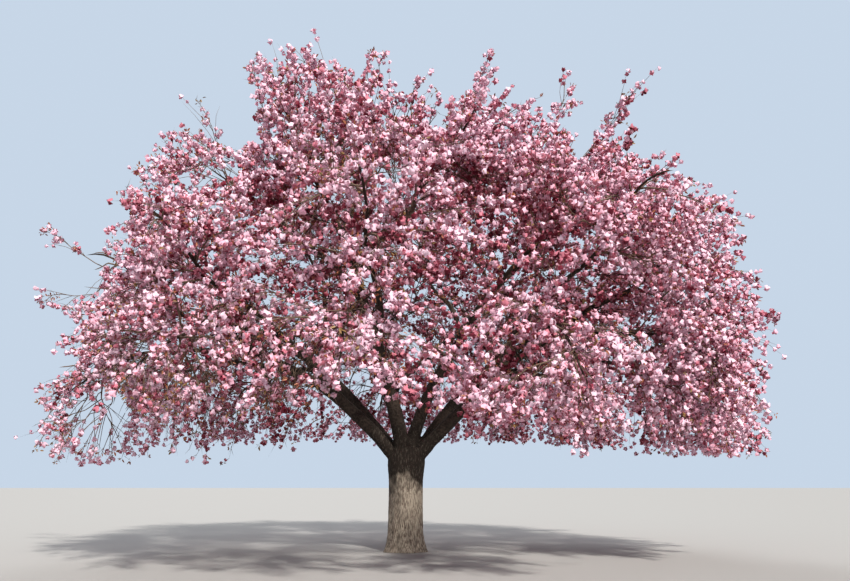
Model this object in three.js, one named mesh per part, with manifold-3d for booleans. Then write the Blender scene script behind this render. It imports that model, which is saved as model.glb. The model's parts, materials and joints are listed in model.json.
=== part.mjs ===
// A spreading double-flowered cherry tree in full blossom: one stout trunk that forks low,
// arching boughs, and masses of blossom sprays. Millimetres, +Z up. The origin is the middle
// of the flat cut under the trunk, at ground level. Azimuth 0 points along +X, 90 along +Y.
import * as THREE from "three";
import { mergeVertices } from "three/addons/utils/BufferGeometryUtils.js";
import Module from "manifold-3d";

const wasm = await Module();
wasm.setup();

// Gap between solids that meet face to face
const GAP = 0.3;

// Trunk: height and mean radius up to the fork, with the root flare at the foot
const TRUNK_PROFILE = [
  [0, 500], [140, 452], [420, 416], [1150, 396], [1650, 402], [2050, 440], [2400, 400],
];
const TRUNK_SIDES = 15;
const TRUNK_LEAN = 20;
const FLARE_LOBES = 5;
const FLARE_DEPTH = 0.085;
const FLARE_HEIGHT = 420;
const FLARE_TURN = 0.6;

// Fork: where the limbs start inside the trunk's head, and how much of each the trunk keeps
const FORK_HEIGHT = 2120;
const STUB_LENGTH = 950;
const STUB_STEPS = 2;
const COLLAR = 0.3;

// Limbs that rise from the fork: the mass each bears, its azimuth and rise, its radius, and
// how far from the trunk's axis it starts
const FORK_LIMBS = {
  mid_1: { azimuth: 30, rise: 50, radius: 150, spread: 170 },
  mid_3: { azimuth: 104, rise: 50, radius: 150, spread: 170 },
  mid_4: { azimuth: 148, rise: 52, radius: 140, spread: 170 },
  mid_5: { azimuth: 190, rise: 48, radius: 165, spread: 170 },
  mid_9: { azimuth: 340, rise: 42, radius: 160, spread: 170 },
  upper_1: { azimuth: 52, rise: 72, radius: 170, spread: 70 },
  upper_5: { azimuth: 238, rise: 66, radius: 190, spread: 70 },
};

// Limbs that leave another limb: the limb, and the share of its length where they leave it
const SIDE_LIMBS = {
  mid_2: ["mid_3", 0.34], mid_6: ["mid_5", 0.30], mid_7: ["upper_5", 0.28], mid_8: ["mid_9", 0.32],
  upper_2: ["upper_1", 0.58], upper_3: ["mid_4", 0.50], upper_4: ["upper_5", 0.60],
  upper_6: ["upper_5", 0.74], upper_7: ["upper_1", 0.70],
  top_1: ["upper_1", 0.84], top_2: ["upper_5", 0.86],
};
// Skirt limbs leave the nearest mid limb, the second one on it further out; a limb that
// bears one already counts as this many degrees further off
const SKIRT_LEAVES_AT = 0.38;
const SKIRT_STEP = 0.12;
const SKIRT_CROWDING = 14;
// How a side limb leaves: by its parent's heading, straight at its mass, and upwards
const LEAVING = { parent: 0.5, straight: 0.9, up: 0.3 };

// Rings of masses: where their middles lie, their half sizes (out, across, up), the rise of
// the limb that enters them, how far the ring is tilted, and the azimuth it is tilted up at.
// The stem ends at shares of the half sizes (out, up), on a heading (out, up)
const RINGS = [
  { ring: "skirt", count: 11, first: 2, reach: 6400, height: 4000, half: [1750, 1850, 1700],
    rise: -5, tilt: 150, tiltAt: 90, stemEnd: [0.55, -0.35], stemWay: [0.7, -0.75], droop: 0.55,
    branches: 7 },
  { ring: "mid", count: 9, first: 28, reach: 6000, height: 6450, half: [1850, 2000, 1700],
    rise: 20, tilt: 450, tiltAt: 60, stemEnd: [0.55, 0.3], stemWay: [0.7, -0.2], droop: 0.12,
    branches: 7 },
  { ring: "upper", count: 7, first: 32, reach: 3600, height: 8450, half: [1800, 1800, 1500],
    rise: 45, tilt: 350, tiltAt: 190, stemEnd: [0.55, 0.3], stemWay: [0.7, 0.5], droop: -0.1,
    branches: 7 },
  { ring: "top", count: 2, first: 20, reach: 1200, height: 9150, half: [1600, 1600, 1100],
    rise: 70, tilt: 200, tiltAt: 200, stemEnd: [0.1, 0.6], stemWay: [0.1, 1], droop: -0.25,
    branches: 6 },
];
const RING_SCATTER = { azimuth: 5, reach: 250, height: 200 };

// Boughs
const BOUGH_SIDES = 6;
const BOUGH_STEPS = 7;
const SIDE_BOUGH_SIDES = 5;
const SIDE_BOUGH_STEPS = 5;
const BOUGH_TIP = 55;
const SIDE_BOUGH_TIP = 42;
const SIDE_BOUGH_SHARE = 0.72;
const ENTRY = 1500;
const SKIRT_LIFT = 550;
const BOUGH_PULL = 0.36;
const BOUGH_WAVER = 100;
const SIDE_BOUGH_WAVER = 60;
const WAVES = [{ turns: 2, size: [0.6, 1] }, { turns: 4, size: [0.25, 0.5] }];
const WAVE_LIFT = 0.6;
const WAVE_OFFSET = 1.7;

// Inside a mass: one stem, branches that leave it, and sprays of blossom on each branch
const STEM_TIP = 26;
const STEM_SIDES = 4;
const STEM_STEPS = 3;
const STEM_WAVER = 50;
const BRANCH_RADII = [22, 12];
const BRANCH_SHARE = 0.8;
const BRANCH_REACH = 0.64;
const BRANCH_SETBACK = 0.22;
const BRANCH_STARTS = { first: 0.08, last: 0.9, steps: 11 };
const SPRAY = { length: 1120, halfWidth: 380, halfDepth: 280, widest: 0.5, root: 3 };
// Share of the branch where each spray stands, and its side: 0 is the tip
const SPRAY_PLACES = [[1, 0], [0.45, 1], [0.78, -1]];
const SIDE_SPRAY = { along: 0.55, out: 0.85, fall: 0.5, lift: [-0.25, 0.35] };
const SPRAY_ROLL = 0.6;
const SPRAY_SIZES = [0.88, 1.12];
// Smaller sizes that are tried where a spray would leave its room
const SPRAY_SCALES = [1, 0.8, 0.62];
// A spray's girth and core, for keeping it clear of limbs and of other sprays
const SPRAY_GIRTH = 0.8;
const SPRAY_CORE = [0.3, 0.85];
const SPACING = 0.64;
// Lowest tips by azimuth: the crown stands higher behind and over the fork's front
const LOWEST = [
  [0, 2200], [30, 2500], [60, 2800], [120, 2800], [150, 2600], [180, 2000], [210, 2000], [225, 2400],
  [240, 2700], [258, 2750], [268, 2900], [278, 2600], [290, 2400], [305, 2300], [320, 2050],
  [345, 2150], [360, 2200],
];
const CLEAR = 20;
const CELL_RANGE = 6000;
const CAPSULE_STEPS = 8;

const GOLDEN_ANGLE = Math.PI * (3 - Math.sqrt(5));
const UP = new THREE.Vector3(0, 0, 1);
const radians = THREE.MathUtils.degToRad;

const PALETTE = {
  bark: { color: "#6f6257", roughness: 0.95, metalness: 0 },
  limb: { color: "#463a33", roughness: 0.92, metalness: 0 },
  blossom: { color: "#e58fae", roughness: 0.8, metalness: 0 },
};

// Seeded draws between 0 and 1
class Draws {
  constructor(seed) {
    this.state = (seed % 2147483646) + 1;
    for (let i = 0; i < 3; i++) this.next();
  }
  next() {
    this.state = (this.state * 48271) % 2147483647;
    return this.state / 2147483647;
  }
  between(low, high) {
    return low + (high - low) * this.next();
  }
}

const vec = (x, y, z) => new THREE.Vector3(x, y, z);

// Sum of vectors, each times its share
function mix(...pairs) {
  const sum = vec(0, 0, 0);
  for (const [vector, share] of pairs) sum.addScaledVector(vector, share);
  return sum;
}

function heading(azimuth, rise) {
  const a = radians(azimuth);
  const e = radians(rise);
  return vec(Math.cos(a) * Math.cos(e), Math.sin(a) * Math.cos(e), Math.sin(e));
}

function place(azimuth, reach, height) {
  const a = radians(azimuth);
  return vec(Math.cos(a) * reach, Math.sin(a) * reach, height);
}

function turnBetween(a, b) {
  return Math.abs(((a - b + 540) % 360) - 180);
}

// A tapering limb along a cubic curve, with a small seeded waver that dies out at both ends
class Limb extends THREE.CubicBezierCurve3 {
  constructor({ start, leaving, end, arriving, radii, seed, waver }) {
    const length = start.distanceTo(end);
    super(
      start,
      mix([start, 1], [leaving.clone().normalize(), length * BOUGH_PULL]),
      mix([end, 1], [arriving.clone().normalize(), -length * BOUGH_PULL]),
      end,
    );
    this.radii = radii;
    const chord = end.clone().sub(start).normalize();
    this.side = chord.clone().cross(UP).normalize();
    this.lift = this.side.clone().cross(chord);
    const draws = new Draws(seed * 7919 + 11);
    this.waves = WAVES.map(({ turns, size }) => ({
      turns, size: waver * draws.between(...size), phase: draws.between(0, 2 * Math.PI),
    }));
  }
  getPoint(t, target = new THREE.Vector3()) {
    const point = super.getPoint(t, target);
    if (!this.waves) return point;
    const hold = Math.sin(Math.PI * t);
    for (const { size, turns, phase } of this.waves) {
      const across = Math.sin(turns * Math.PI * t + phase);
      const along = WAVE_LIFT * Math.cos(turns * Math.PI * t + WAVE_OFFSET * phase);
      point.addScaledVector(this.side, hold * size * across);
      point.addScaledVector(this.lift, hold * size * along);
    }
    return point;
  }
  way(t) {
    if (t === 0 && this.footWay) return this.footWay.clone();
    const before = this.getPoint(Math.max(0, t - 0.01));
    return this.getPoint(Math.min(1, t + 0.01)).sub(before).normalize();
  }
  radiusAt(t) {
    return this.radii[0] + (this.radii[1] - this.radii[0]) * t;
  }
  // Share of the curve at which it has run a given distance
  shareAt(distance) {
    let share = 0;
    let last = this.getPoint(0);
    for (let run = 0; run < distance; share += 0.001) {
      const next = this.getPoint(share);
      run += next.distanceTo(last);
      last = next;
    }
    return share;
  }
}

// Rings of points round a limb, square to it, in frames that don't twist
function limbRings(limb, shares, sides, grow = 0) {
  const rings = [];
  let side = limb.way(shares[0]).cross(UP).normalize();
  for (const share of shares) {
    const way = limb.way(share);
    side = side.addScaledVector(way, -side.dot(way)).normalize().clone();
    const lift = way.clone().cross(side);
    const middle = limb.getPoint(share);
    const radius = limb.radiusAt(share) + grow;
    const ring = [];
    for (let i = 0; i < sides; i++) {
      const turn = (2 * Math.PI * i) / sides;
      ring.push(mix([middle, 1], [side, radius * Math.cos(turn)], [lift, radius * Math.sin(turn)]));
    }
    rings.push(ring);
  }
  return rings;
}

// A closed skin over rings that run anticlockwise as seen from the last one; the first and
// the last may be a single point, and are otherwise closed by a flat cap
function skin(rings) {
  const sides = Math.max(...rings.map((ring) => ring.length));
  const points = rings.flat();
  const starts = rings.map((_, row) => rings.slice(0, row).flat().length);
  const at = (row, i) => starts[row] + (rings[row].length === 1 ? 0 : i % sides);
  const head = rings.length - 1;
  const faces = [];
  for (let i = 0; i < sides; i++) {
    for (let row = 0; row < head; row++) {
      if (rings[row].length > 1) faces.push(at(row, i), at(row, i + 1), at(row + 1, i + 1));
      if (rings[row + 1].length > 1) faces.push(at(row, i), at(row + 1, i + 1), at(row + 1, i));
    }
    const inFan = i > 0 && i + 1 < sides;
    if (inFan && rings[0].length > 1) faces.push(at(0, 0), at(0, i + 1), at(0, i));
    if (inFan && rings[head].length > 1) faces.push(at(head, 0), at(head, i), at(head, i + 1));
  }
  const geometry = new THREE.BufferGeometry();
  geometry.setAttribute("position",
    new THREE.Float32BufferAttribute(points.flatMap((point) => point.toArray()), 3));
  geometry.setIndex(faces);
  return geometry;
}

function toSolid(geometry) {
  geometry.deleteAttribute("normal");
  geometry.deleteAttribute("uv");
  const merged = mergeVertices(geometry, 0.001);
  return new wasm.Manifold(new wasm.Mesh({
    numProp: 3,
    vertProperties: new Float32Array(merged.attributes.position.array),
    triVerts: new Uint32Array(merged.index.array),
  }));
}

// The largest connected body: drops loose scrap and fills sealed hollows
function wholeBody(solid) {
  const bodies = solid.decompose();
  return bodies.reduce((best, body) => (body.volume() > best.volume() ? body : best));
}

function toMesh(name, solid, material) {
  const { vertProperties, triVerts } = solid.getMesh();
  const geometry = new THREE.BufferGeometry();
  geometry.setAttribute("position", new THREE.Float32BufferAttribute(vertProperties, 3));
  geometry.setIndex(new THREE.Uint32BufferAttribute(triVerts, 1));
  geometry.computeVertexNormals();
  const mesh = new THREE.Mesh(geometry, material);
  mesh.name = name;
  return mesh;
}

function evenShares(first, last, steps) {
  return Array.from({ length: steps + 1 }, (_, i) => first + ((last - first) * i) / steps);
}

// Masses: their places in the rings
function ringMasses() {
  const masses = [];
  for (const row of RINGS) {
    for (let i = 0; i < row.count; i++) {
      const draws = new Draws(masses.length * 31 + 5);
      const azimuth = row.first + (360 * i) / row.count
        + draws.between(-RING_SCATTER.azimuth, RING_SCATTER.azimuth);
      const reach = row.reach + draws.between(-RING_SCATTER.reach, RING_SCATTER.reach);
      const height = row.height + row.tilt * Math.cos(radians(azimuth - row.tiltAt))
        + draws.between(-RING_SCATTER.height, RING_SCATTER.height);
      masses.push({
        ...row, name: `${row.ring}_${i + 1}`, index: masses.length,
        azimuth, centre: place(azimuth, reach, height),
      });
    }
  }
  return masses;
}

// Where a limb that comes from start ends as it enters a mass
function entryPoint(mass, start) {
  const towards = mass.centre.clone().sub(start).normalize();
  const lift = mass.ring === "skirt" ? SKIRT_LIFT : 0;
  return mix([mass.centre, 1], [towards, -ENTRY], [UP, lift]);
}

function forkLimb(mass) {
  const { azimuth, rise, radius, spread } = FORK_LIMBS[mass.name];
  const start = mix([place(azimuth, spread, FORK_HEIGHT), 1], [vec(1, 0, 0), TRUNK_LEAN]);
  const limb = new Limb({
    start, leaving: heading(azimuth, rise),
    end: entryPoint(mass, start), arriving: heading(mass.azimuth, mass.rise),
    radii: [radius, BOUGH_TIP], seed: mass.index + 1, waver: BOUGH_WAVER,
  });
  limb.forked = true;
  limb.firstShare = limb.shareAt(STUB_LENGTH);
  return limb;
}

function sideLimb(mass, parent, share) {
  const start = parent.getPoint(share);
  const end = entryPoint(mass, start);
  const straight = end.clone().sub(start).normalize();
  const limb = new Limb({
    start,
    leaving: mix([parent.way(share), LEAVING.parent], [straight, LEAVING.straight], [UP, LEAVING.up]),
    end, arriving: heading(mass.azimuth, mass.rise),
    radii: [parent.radiusAt(share) * SIDE_BOUGH_SHARE, SIDE_BOUGH_TIP],
    seed: mass.index + 1, waver: SIDE_BOUGH_WAVER,
  });
  limb.parent = parent;
  return limb;
}

// One limb for each mass; a limb is grown after the one it leaves
function growLimbs(masses) {
  const limbs = {};
  const byName = Object.fromEntries(masses.map((mass) => [mass.name, mass]));
  for (const name of Object.keys(FORK_LIMBS)) limbs[name] = forkLimb(byName[name]);
  for (const [name, [parent, share]] of Object.entries(SIDE_LIMBS)) {
    limbs[name] = sideLimb(byName[name], limbs[parent], share);
  }
  const borne = {};
  const mids = masses.filter((mass) => mass.ring === "mid");
  for (const mass of masses.filter((one) => one.ring === "skirt")) {
    const crowding = (one) => turnBetween(one.azimuth, mass.azimuth)
      + SKIRT_CROWDING * (borne[one.name] ?? 0);
    const nearest = mids.reduce((best, one) => (crowding(one) < crowding(best) ? one : best));
    const before = borne[nearest.name] ?? 0;
    borne[nearest.name] = before + 1;
    limbs[mass.name] = sideLimb(mass, limbs[nearest.name], SKIRT_LEAVES_AT + SKIRT_STEP * before);
  }
  for (const mass of masses) mass.limb = limbs[mass.name];
}

// A mass's stem goes on from its limb's tip
function growStem(mass) {
  const out = heading(mass.azimuth, 0);
  const [outward, upward] = mass.stemEnd;
  mass.stem = new Limb({
    start: mass.limb.getPoint(1), leaving: mass.limb.way(1),
    end: mix([mass.centre, 1], [out, outward * mass.half[0]], [UP, upward * mass.half[2]]),
    arriving: mix([out, mass.stemWay[0]], [UP, mass.stemWay[1]]),
    radii: [mass.limb.radiusAt(1), STEM_TIP], seed: 300 + mass.index, waver: STEM_WAVER,
  });
  mass.stem.footWay = mass.limb.way(1);
}

// Distance between the segments ab and cd
function segmentGap(a, b, c, d) {
  const u = b.clone().sub(a);
  const v = d.clone().sub(c);
  const w = a.clone().sub(c);
  const [uu, uv, vv, uw, vw] = [u.dot(u), u.dot(v), v.dot(v), u.dot(w), v.dot(w)];
  const clamp = THREE.MathUtils.clamp;
  const spread = uu * vv - uv * uv;
  let s = spread < 1e-6 ? 0 : clamp((uv * vw - vv * uw) / spread, 0, 1);
  let t = (uv * s + vw) / vv;
  if (t < 0 || t > 1) {
    t = clamp(t, 0, 1);
    s = clamp((uv * t - uw) / uu, 0, 1);
  }
  return w.addScaledVector(u, s).addScaledVector(v, -t).length();
}

// Short straight lengths that stand for the limbs and stems when room is looked for
function capsulesOf(curve, owner) {
  const shares = evenShares(0, 1, CAPSULE_STEPS);
  const points = shares.map((share) => curve.getPoint(share));
  return points.slice(1).map((end, i) => ({
    start: points[i], end, radius: curve.radiusAt(shares[i]), owner,
  }));
}

function hasRoom(start, end, radius, owner, capsules) {
  return capsules.every((one) => one.owner === owner
    || segmentGap(start, end, one.start, one.end) > radius + one.radius + CLEAR);
}

// A mass's own space lies on its side of the plane half way to each other mass
function inOwnSpace(point, mass, masses) {
  return masses.every((other) => {
    if (other === mass) return true;
    const across = other.centre.clone().sub(mass.centre);
    const apart = across.length();
    if (apart > CELL_RANGE) return true;
    return point.clone().sub(mass.centre).dot(across) / apart < apart / 2 - CLEAR;
  });
}

// The k-th branch aims at the k-th of a spiral of points spread over the mass
function growBranch(mass, k) {
  const level = 1 - (2 * (k + 0.5)) / mass.branches;
  const ring = Math.sqrt(1 - level * level);
  const turn = k * GOLDEN_ANGLE + mass.index;
  const out = heading(mass.azimuth, 0);
  const across = UP.clone().cross(out);
  const [a, b, c] = mass.half;
  const aim = mix(
    [mass.centre, 1],
    [out, BRANCH_REACH * a * ring * Math.cos(turn)],
    [across, BRANCH_REACH * b * ring * Math.sin(turn)],
    [UP, BRANCH_REACH * c * level],
  );
  const shares = evenShares(BRANCH_STARTS.first, BRANCH_STARTS.last, BRANCH_STARTS.steps);
  const distance = (share) => mass.stem.getPoint(share).distanceTo(aim);
  const nearest = shares.reduce((best, share) => (distance(share) < distance(best) ? share : best));
  const share = Math.max(BRANCH_STARTS.first, nearest - BRANCH_SETBACK);
  const start = mass.stem.getPoint(share);
  return {
    start, end: aim,
    radii: [Math.min(BRANCH_RADII[0], BRANCH_SHARE * mass.stem.radiusAt(share)), BRANCH_RADII[1]],
  };
}

// Three points round a middle, on an ellipse
function triangle(middle, side, deep, halfWidth, halfDepth) {
  return [1, 2, 3].map((corner) => {
    const turn = (2 * Math.PI * corner) / 3;
    return mix([middle, 1], [side, halfWidth * Math.cos(turn)], [deep, halfDepth * Math.sin(turn)]);
  });
}

// Rings at a branch's two ends, turned as its tip spray is
function branchRings(branch, tip) {
  const way = branch.end.clone().sub(branch.start).normalize();
  const side = tip ? tip.side : way.clone().cross(UP).normalize();
  const deep = way.clone().cross(side);
  const [foot, head] = branch.radii;
  return [
    triangle(branch.start, side, deep, foot, foot), triangle(branch.end, side, deep, head, head),
  ];
}

// Sprays: one that goes on from a branch's tip and two on its sides, each a flattened
// spindle of three sides that stands for a spray of blossom
function placeSprays(mass, branch, k, masses, capsules) {
  const draws = new Draws(mass.index * 1000 + k * 10 + 3);
  const along = branch.end.clone().sub(branch.start).normalize();
  const flat = along.clone().cross(UP).normalize();
  for (const [share, hand] of SPRAY_PLACES) {
    const lift = draws.between(...SIDE_SPRAY.lift);
    const roll = draws.between(-SPRAY_ROLL, SPRAY_ROLL);
    const whole = draws.between(...SPRAY_SIZES);
    const rise = lift - SIDE_SPRAY.fall * mass.droop;
    const way = hand === 0
      ? along
      : mix([along, SIDE_SPRAY.along], [flat, SIDE_SPRAY.out * hand], [UP, rise]).normalize();
    const base = branch.start.clone().lerp(branch.end, share).addScaledVector(way, -SPRAY.root);
    const level = way.clone().cross(UP).normalize();
    const side = mix([level, Math.cos(roll)], [level.clone().cross(way), Math.sin(roll)]);
    const spray = SPRAY_SCALES.map((scale) => ({ base, way, side, size: whole * scale }))
      .find((one) => sprayFits(one, mass, masses, capsules));
    if (spray) mass.sprays.push({ ...spray, branch, atTip: hand === 0 });
  }
}

// The spray's widest ring and its tip
function sprayRings({ base, way, side, size }) {
  const middle = mix([base, 1], [way, SPRAY.widest * size * SPRAY.length]);
  const deep = way.clone().cross(side);
  return [
    triangle(middle, side, deep, size * SPRAY.halfWidth, size * SPRAY.halfDepth),
    [mix([base, 1], [way, size * SPRAY.length])],
  ];
}

// The lowest that a spray may reach at a point's azimuth
function lowestAt(point) {
  const azimuth = (THREE.MathUtils.radToDeg(Math.atan2(point.y, point.x)) + 360) % 360;
  const k = LOWEST.findIndex(([far]) => far > azimuth);
  const [[from, low], [to, high]] = [LOWEST[k - 1], LOWEST[k]];
  return low + (high - low) * (azimuth - from) / (to - from);
}

function sprayFits(spray, mass, masses, capsules) {
  const [ring, [tip]] = sprayRings(spray);
  return [...ring, tip].every((point) => point.z > lowestAt(point) && inOwnSpace(point, mass, masses))
    && hasRoom(spray.base, tip, SPRAY_GIRTH * spray.size * SPRAY.halfWidth, mass.name, capsules)
    && mass.sprays.every((other) => standApart(spray, other));
}

// Whether two sprays of one mass stand clear of each other, away from their roots
function standApart(spray, other) {
  const core = ({ base, way, size }) =>
    SPRAY_CORE.map((share) => mix([base, 1], [way, share * size * SPRAY.length]));
  const gap = segmentGap(...core(spray), ...core(other));
  return gap > SPACING * (spray.size + other.size) * SPRAY.halfWidth;
}

// A mass: its stem, and the branches and sprays that keep to its own space
function massSolid(mass, masses, capsules) {
  const rings = limbRings(mass.stem, evenShares(0, 1, STEM_STEPS), STEM_SIDES);
  for (const point of rings[0]) point.addScaledVector(mass.stem.way(0), GAP);
  let solid = toSolid(skin(rings));
  for (let k = 0; k < mass.branches; k++) {
    const branch = growBranch(mass, k);
    const free = hasRoom(branch.start, branch.end, branch.radii[0], mass.name, capsules)
      && inOwnSpace(branch.end, mass, masses);
    if (!free) continue;
    placeSprays(mass, branch, k, masses, capsules);
    const own = mass.sprays.filter((spray) => spray.branch === branch);
    const tip = own.find((spray) => spray.atTip);
    solid = solid.add(toSolid(skin([...branchRings(branch, tip), ...(tip ? sprayRings(tip) : [])])));
    for (const spray of own.filter((one) => !one.atTip)) {
      solid = solid.add(toSolid(skin([[spray.base], ...sprayRings(spray)])));
    }
  }
  return wholeBody(solid);
}

// Rings of a whole limb, with its radius grown a little where it is to be cut from another
function wholeLimbRings(limb, grow = 0) {
  if (!limb.forked) {
    return limbRings(limb, evenShares(0, 1, SIDE_BOUGH_STEPS), SIDE_BOUGH_SIDES, grow);
  }
  const stub = evenShares(0, limb.firstShare, STUB_STEPS);
  const bough = evenShares(limb.firstShare, 1, BOUGH_STEPS);
  return limbRings(limb, [...stub, ...bough.slice(1)], BOUGH_SIDES, grow);
}

// The trunk keeps a fork limb's first rings, spread into a collar at the foot
function stubSolid(limb) {
  const rings = wholeLimbRings(limb).slice(0, STUB_STEPS + 1);
  const foot = limb.getPoint(0);
  for (const point of rings[0]) point.sub(foot).multiplyScalar(1 + COLLAR).add(foot);
  return toSolid(skin(rings));
}

// A fork limb goes on from its stub; a side limb is cut to fit the limb it leaves
function boughSolid(limb) {
  const rings = wholeLimbRings(limb);
  if (limb.forked) {
    const kept = rings.slice(STUB_STEPS);
    for (const point of kept[0]) point.addScaledVector(limb.way(limb.firstShare), GAP);
    return toSolid(skin(kept));
  }
  const parentRoom = toSolid(skin(wholeLimbRings(limb.parent, GAP)));
  return wholeBody(toSolid(skin(rings)).subtract(parentRoom));
}

function trunkSolid(stubs) {
  const rings = TRUNK_PROFILE.map(([height, radius]) => {
    const flare = FLARE_DEPTH * Math.max(0, 1 - height / FLARE_HEIGHT);
    const lean = TRUNK_LEAN * Math.min(1, height / FORK_HEIGHT);
    return Array.from({ length: TRUNK_SIDES }, (_, i) => {
      const turn = (2 * Math.PI * i) / TRUNK_SIDES;
      const swell = radius * (1 + flare * Math.cos(FLARE_LOBES * turn + FLARE_TURN));
      return vec(lean + swell * Math.cos(turn), swell * Math.sin(turn), height);
    });
  });
  return wholeBody(stubs.reduce((solid, stub) => solid.add(stub), toSolid(skin(rings))));
}

function buildTree() {
  const tree = new THREE.Group();
  const materials = Object.fromEntries(
    Object.entries(PALETTE).map(([name, look]) => [name, new THREE.MeshStandardMaterial(look)]));
  const masses = ringMasses();
  growLimbs(masses);
  masses.forEach(growStem);
  const capsules = masses.flatMap((mass) => [
    ...capsulesOf(mass.limb, "limb"), ...capsulesOf(mass.stem, mass.name),
  ]);
  const stubs = [];
  const boughs = new THREE.Group();
  const blossom = new THREE.Group();
  for (const mass of masses) {
    mass.sprays = [];
    if (mass.limb.forked) stubs.push(stubSolid(mass.limb));
    boughs.add(toMesh(`bough_${mass.name}`, boughSolid(mass.limb), materials.limb));
    blossom.add(toMesh(`mass_${mass.name}`, massSolid(mass, masses, capsules), materials.blossom));
  }
  tree.add(toMesh("trunk", trunkSolid(stubs), materials.bark), boughs, blossom);
  return tree;
}

export default buildTree();
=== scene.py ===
"""A spreading double-flowered cherry tree in full blossom, dressed over its frame.

Bark with relief stands for the trunk and the boughs. Twigs, blossom and young leaves grow on
from the limbs by the frame's own rule, carried to finer twigs. Metres, +Z up.
"""

import json
import math
from functools import lru_cache

import bpy
import numpy as np
from bpy.props import FloatProperty, FloatVectorProperty, IntProperty, PointerProperty
from bpy.types import Operator, Panel, PropertyGroup
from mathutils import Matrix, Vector

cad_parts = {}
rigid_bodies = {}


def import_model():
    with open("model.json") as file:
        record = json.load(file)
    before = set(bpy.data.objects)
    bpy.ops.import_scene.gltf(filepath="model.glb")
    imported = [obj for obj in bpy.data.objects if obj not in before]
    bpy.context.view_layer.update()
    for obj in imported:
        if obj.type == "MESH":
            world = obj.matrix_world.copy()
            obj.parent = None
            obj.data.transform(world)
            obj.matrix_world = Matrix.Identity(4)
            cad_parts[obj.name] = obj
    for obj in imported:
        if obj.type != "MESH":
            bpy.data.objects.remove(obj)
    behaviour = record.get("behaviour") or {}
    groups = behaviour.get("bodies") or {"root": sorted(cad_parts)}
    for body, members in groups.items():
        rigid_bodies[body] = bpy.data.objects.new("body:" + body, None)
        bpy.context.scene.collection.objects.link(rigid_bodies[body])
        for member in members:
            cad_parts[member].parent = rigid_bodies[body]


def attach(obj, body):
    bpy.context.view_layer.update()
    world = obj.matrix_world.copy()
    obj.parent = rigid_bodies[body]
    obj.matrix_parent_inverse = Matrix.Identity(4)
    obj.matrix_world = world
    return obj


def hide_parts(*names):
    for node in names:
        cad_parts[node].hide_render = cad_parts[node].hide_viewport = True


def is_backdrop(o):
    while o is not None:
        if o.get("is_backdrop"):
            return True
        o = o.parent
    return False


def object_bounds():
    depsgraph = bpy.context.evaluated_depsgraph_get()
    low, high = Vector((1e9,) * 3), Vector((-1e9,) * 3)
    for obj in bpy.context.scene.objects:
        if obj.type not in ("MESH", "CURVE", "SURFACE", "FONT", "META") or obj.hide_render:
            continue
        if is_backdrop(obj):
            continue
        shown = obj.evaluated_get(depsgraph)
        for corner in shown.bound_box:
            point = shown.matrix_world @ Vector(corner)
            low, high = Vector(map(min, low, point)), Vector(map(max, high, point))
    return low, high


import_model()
FRAME_LOW, FRAME_HIGH = (np.array(corner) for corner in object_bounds())

bl_info = {
    "name": "Blossoming cherry tree",
    "version": (1, 0, 0),
    "blender": (4, 5, 0),
    "location": "View3D > Sidebar > Cherry",
    "description": "Bark, twigs, blossom and young leaves for a spreading cherry tree",
    "category": "Object",
}

UP = np.array([0.0, 0.0, 1.0])
FULL_TURN = 2 * math.pi
GOLDEN_ANGLE = math.pi * (3 - math.sqrt(5))

# Seeds by the frame's rule: a factor and a start for masses and limbs, and the first stem's
MASS_SEED = (31, 5)
LIMB_SEED = (7919, 11)
STEM_SEED = 300
# First seeds of what grows finer, and how many branches have seeds of their own in each mass
SEEDS = {
    "branches": 500, "shell": 2000, "leads": 3000, "spires": 3500, "closing": 3600, "inner": 4000,
    "mass_twigs": 9000, "inner_twigs": 9500, "cluster_shapes": 70, "shoots": 40000, "twigs": 50000,
    "whips": 55000, "clusters": 60000, "tints": 61000, "leaves": 80000,
}
BRANCH_SEEDS = 20
FILLING_SEEDS_FROM = 10
INNER_SEEDS = 40

# Trunk: height and mean radius up to the fork, with the root flare at the foot
TRUNK_PROFILE = (
    (0, 0.5), (0.14, 0.452), (0.42, 0.416), (1.15, 0.396), (1.65, 0.402), (2.05, 0.44), (2.4, 0.4),
)
TRUNK_LEAN = 0.02
FLARE_LOBES = 5
FLARE_DEPTH = 0.085
FLARE_HEIGHT = 0.42
FLARE_TURN = 0.6
FORK_HEIGHT = 2.12
STUB_LENGTH = 0.95
COLLAR = 0.3

# Limbs that rise from the fork: azimuth, rise, radius, and how far off the trunk's axis they start
FORK_LIMBS = {
    "mid_1": (30, 50, 0.15, 0.17), "mid_3": (104, 50, 0.15, 0.17), "mid_4": (148, 52, 0.14, 0.17),
    "mid_5": (190, 48, 0.165, 0.17), "mid_9": (340, 42, 0.16, 0.17),
    "upper_1": (52, 72, 0.17, 0.07), "upper_5": (238, 66, 0.19, 0.07),
}
# Limbs that leave another limb: the limb, and the share of its length where they leave it
SIDE_LIMBS = {
    "mid_2": ("mid_3", 0.34), "mid_6": ("mid_5", 0.30), "mid_7": ("upper_5", 0.28),
    "mid_8": ("mid_9", 0.32), "upper_2": ("upper_1", 0.58), "upper_3": ("mid_4", 0.50),
    "upper_4": ("upper_5", 0.60), "upper_6": ("upper_5", 0.74), "upper_7": ("upper_1", 0.70),
    "top_1": ("upper_1", 0.84), "top_2": ("upper_5", 0.86),
}
SKIRT_LEAVES_AT = 0.38
SKIRT_STEP = 0.12
SKIRT_CROWDING = 14
LEAVING = {"parent": 0.5, "straight": 0.9, "up": 0.3}

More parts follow.
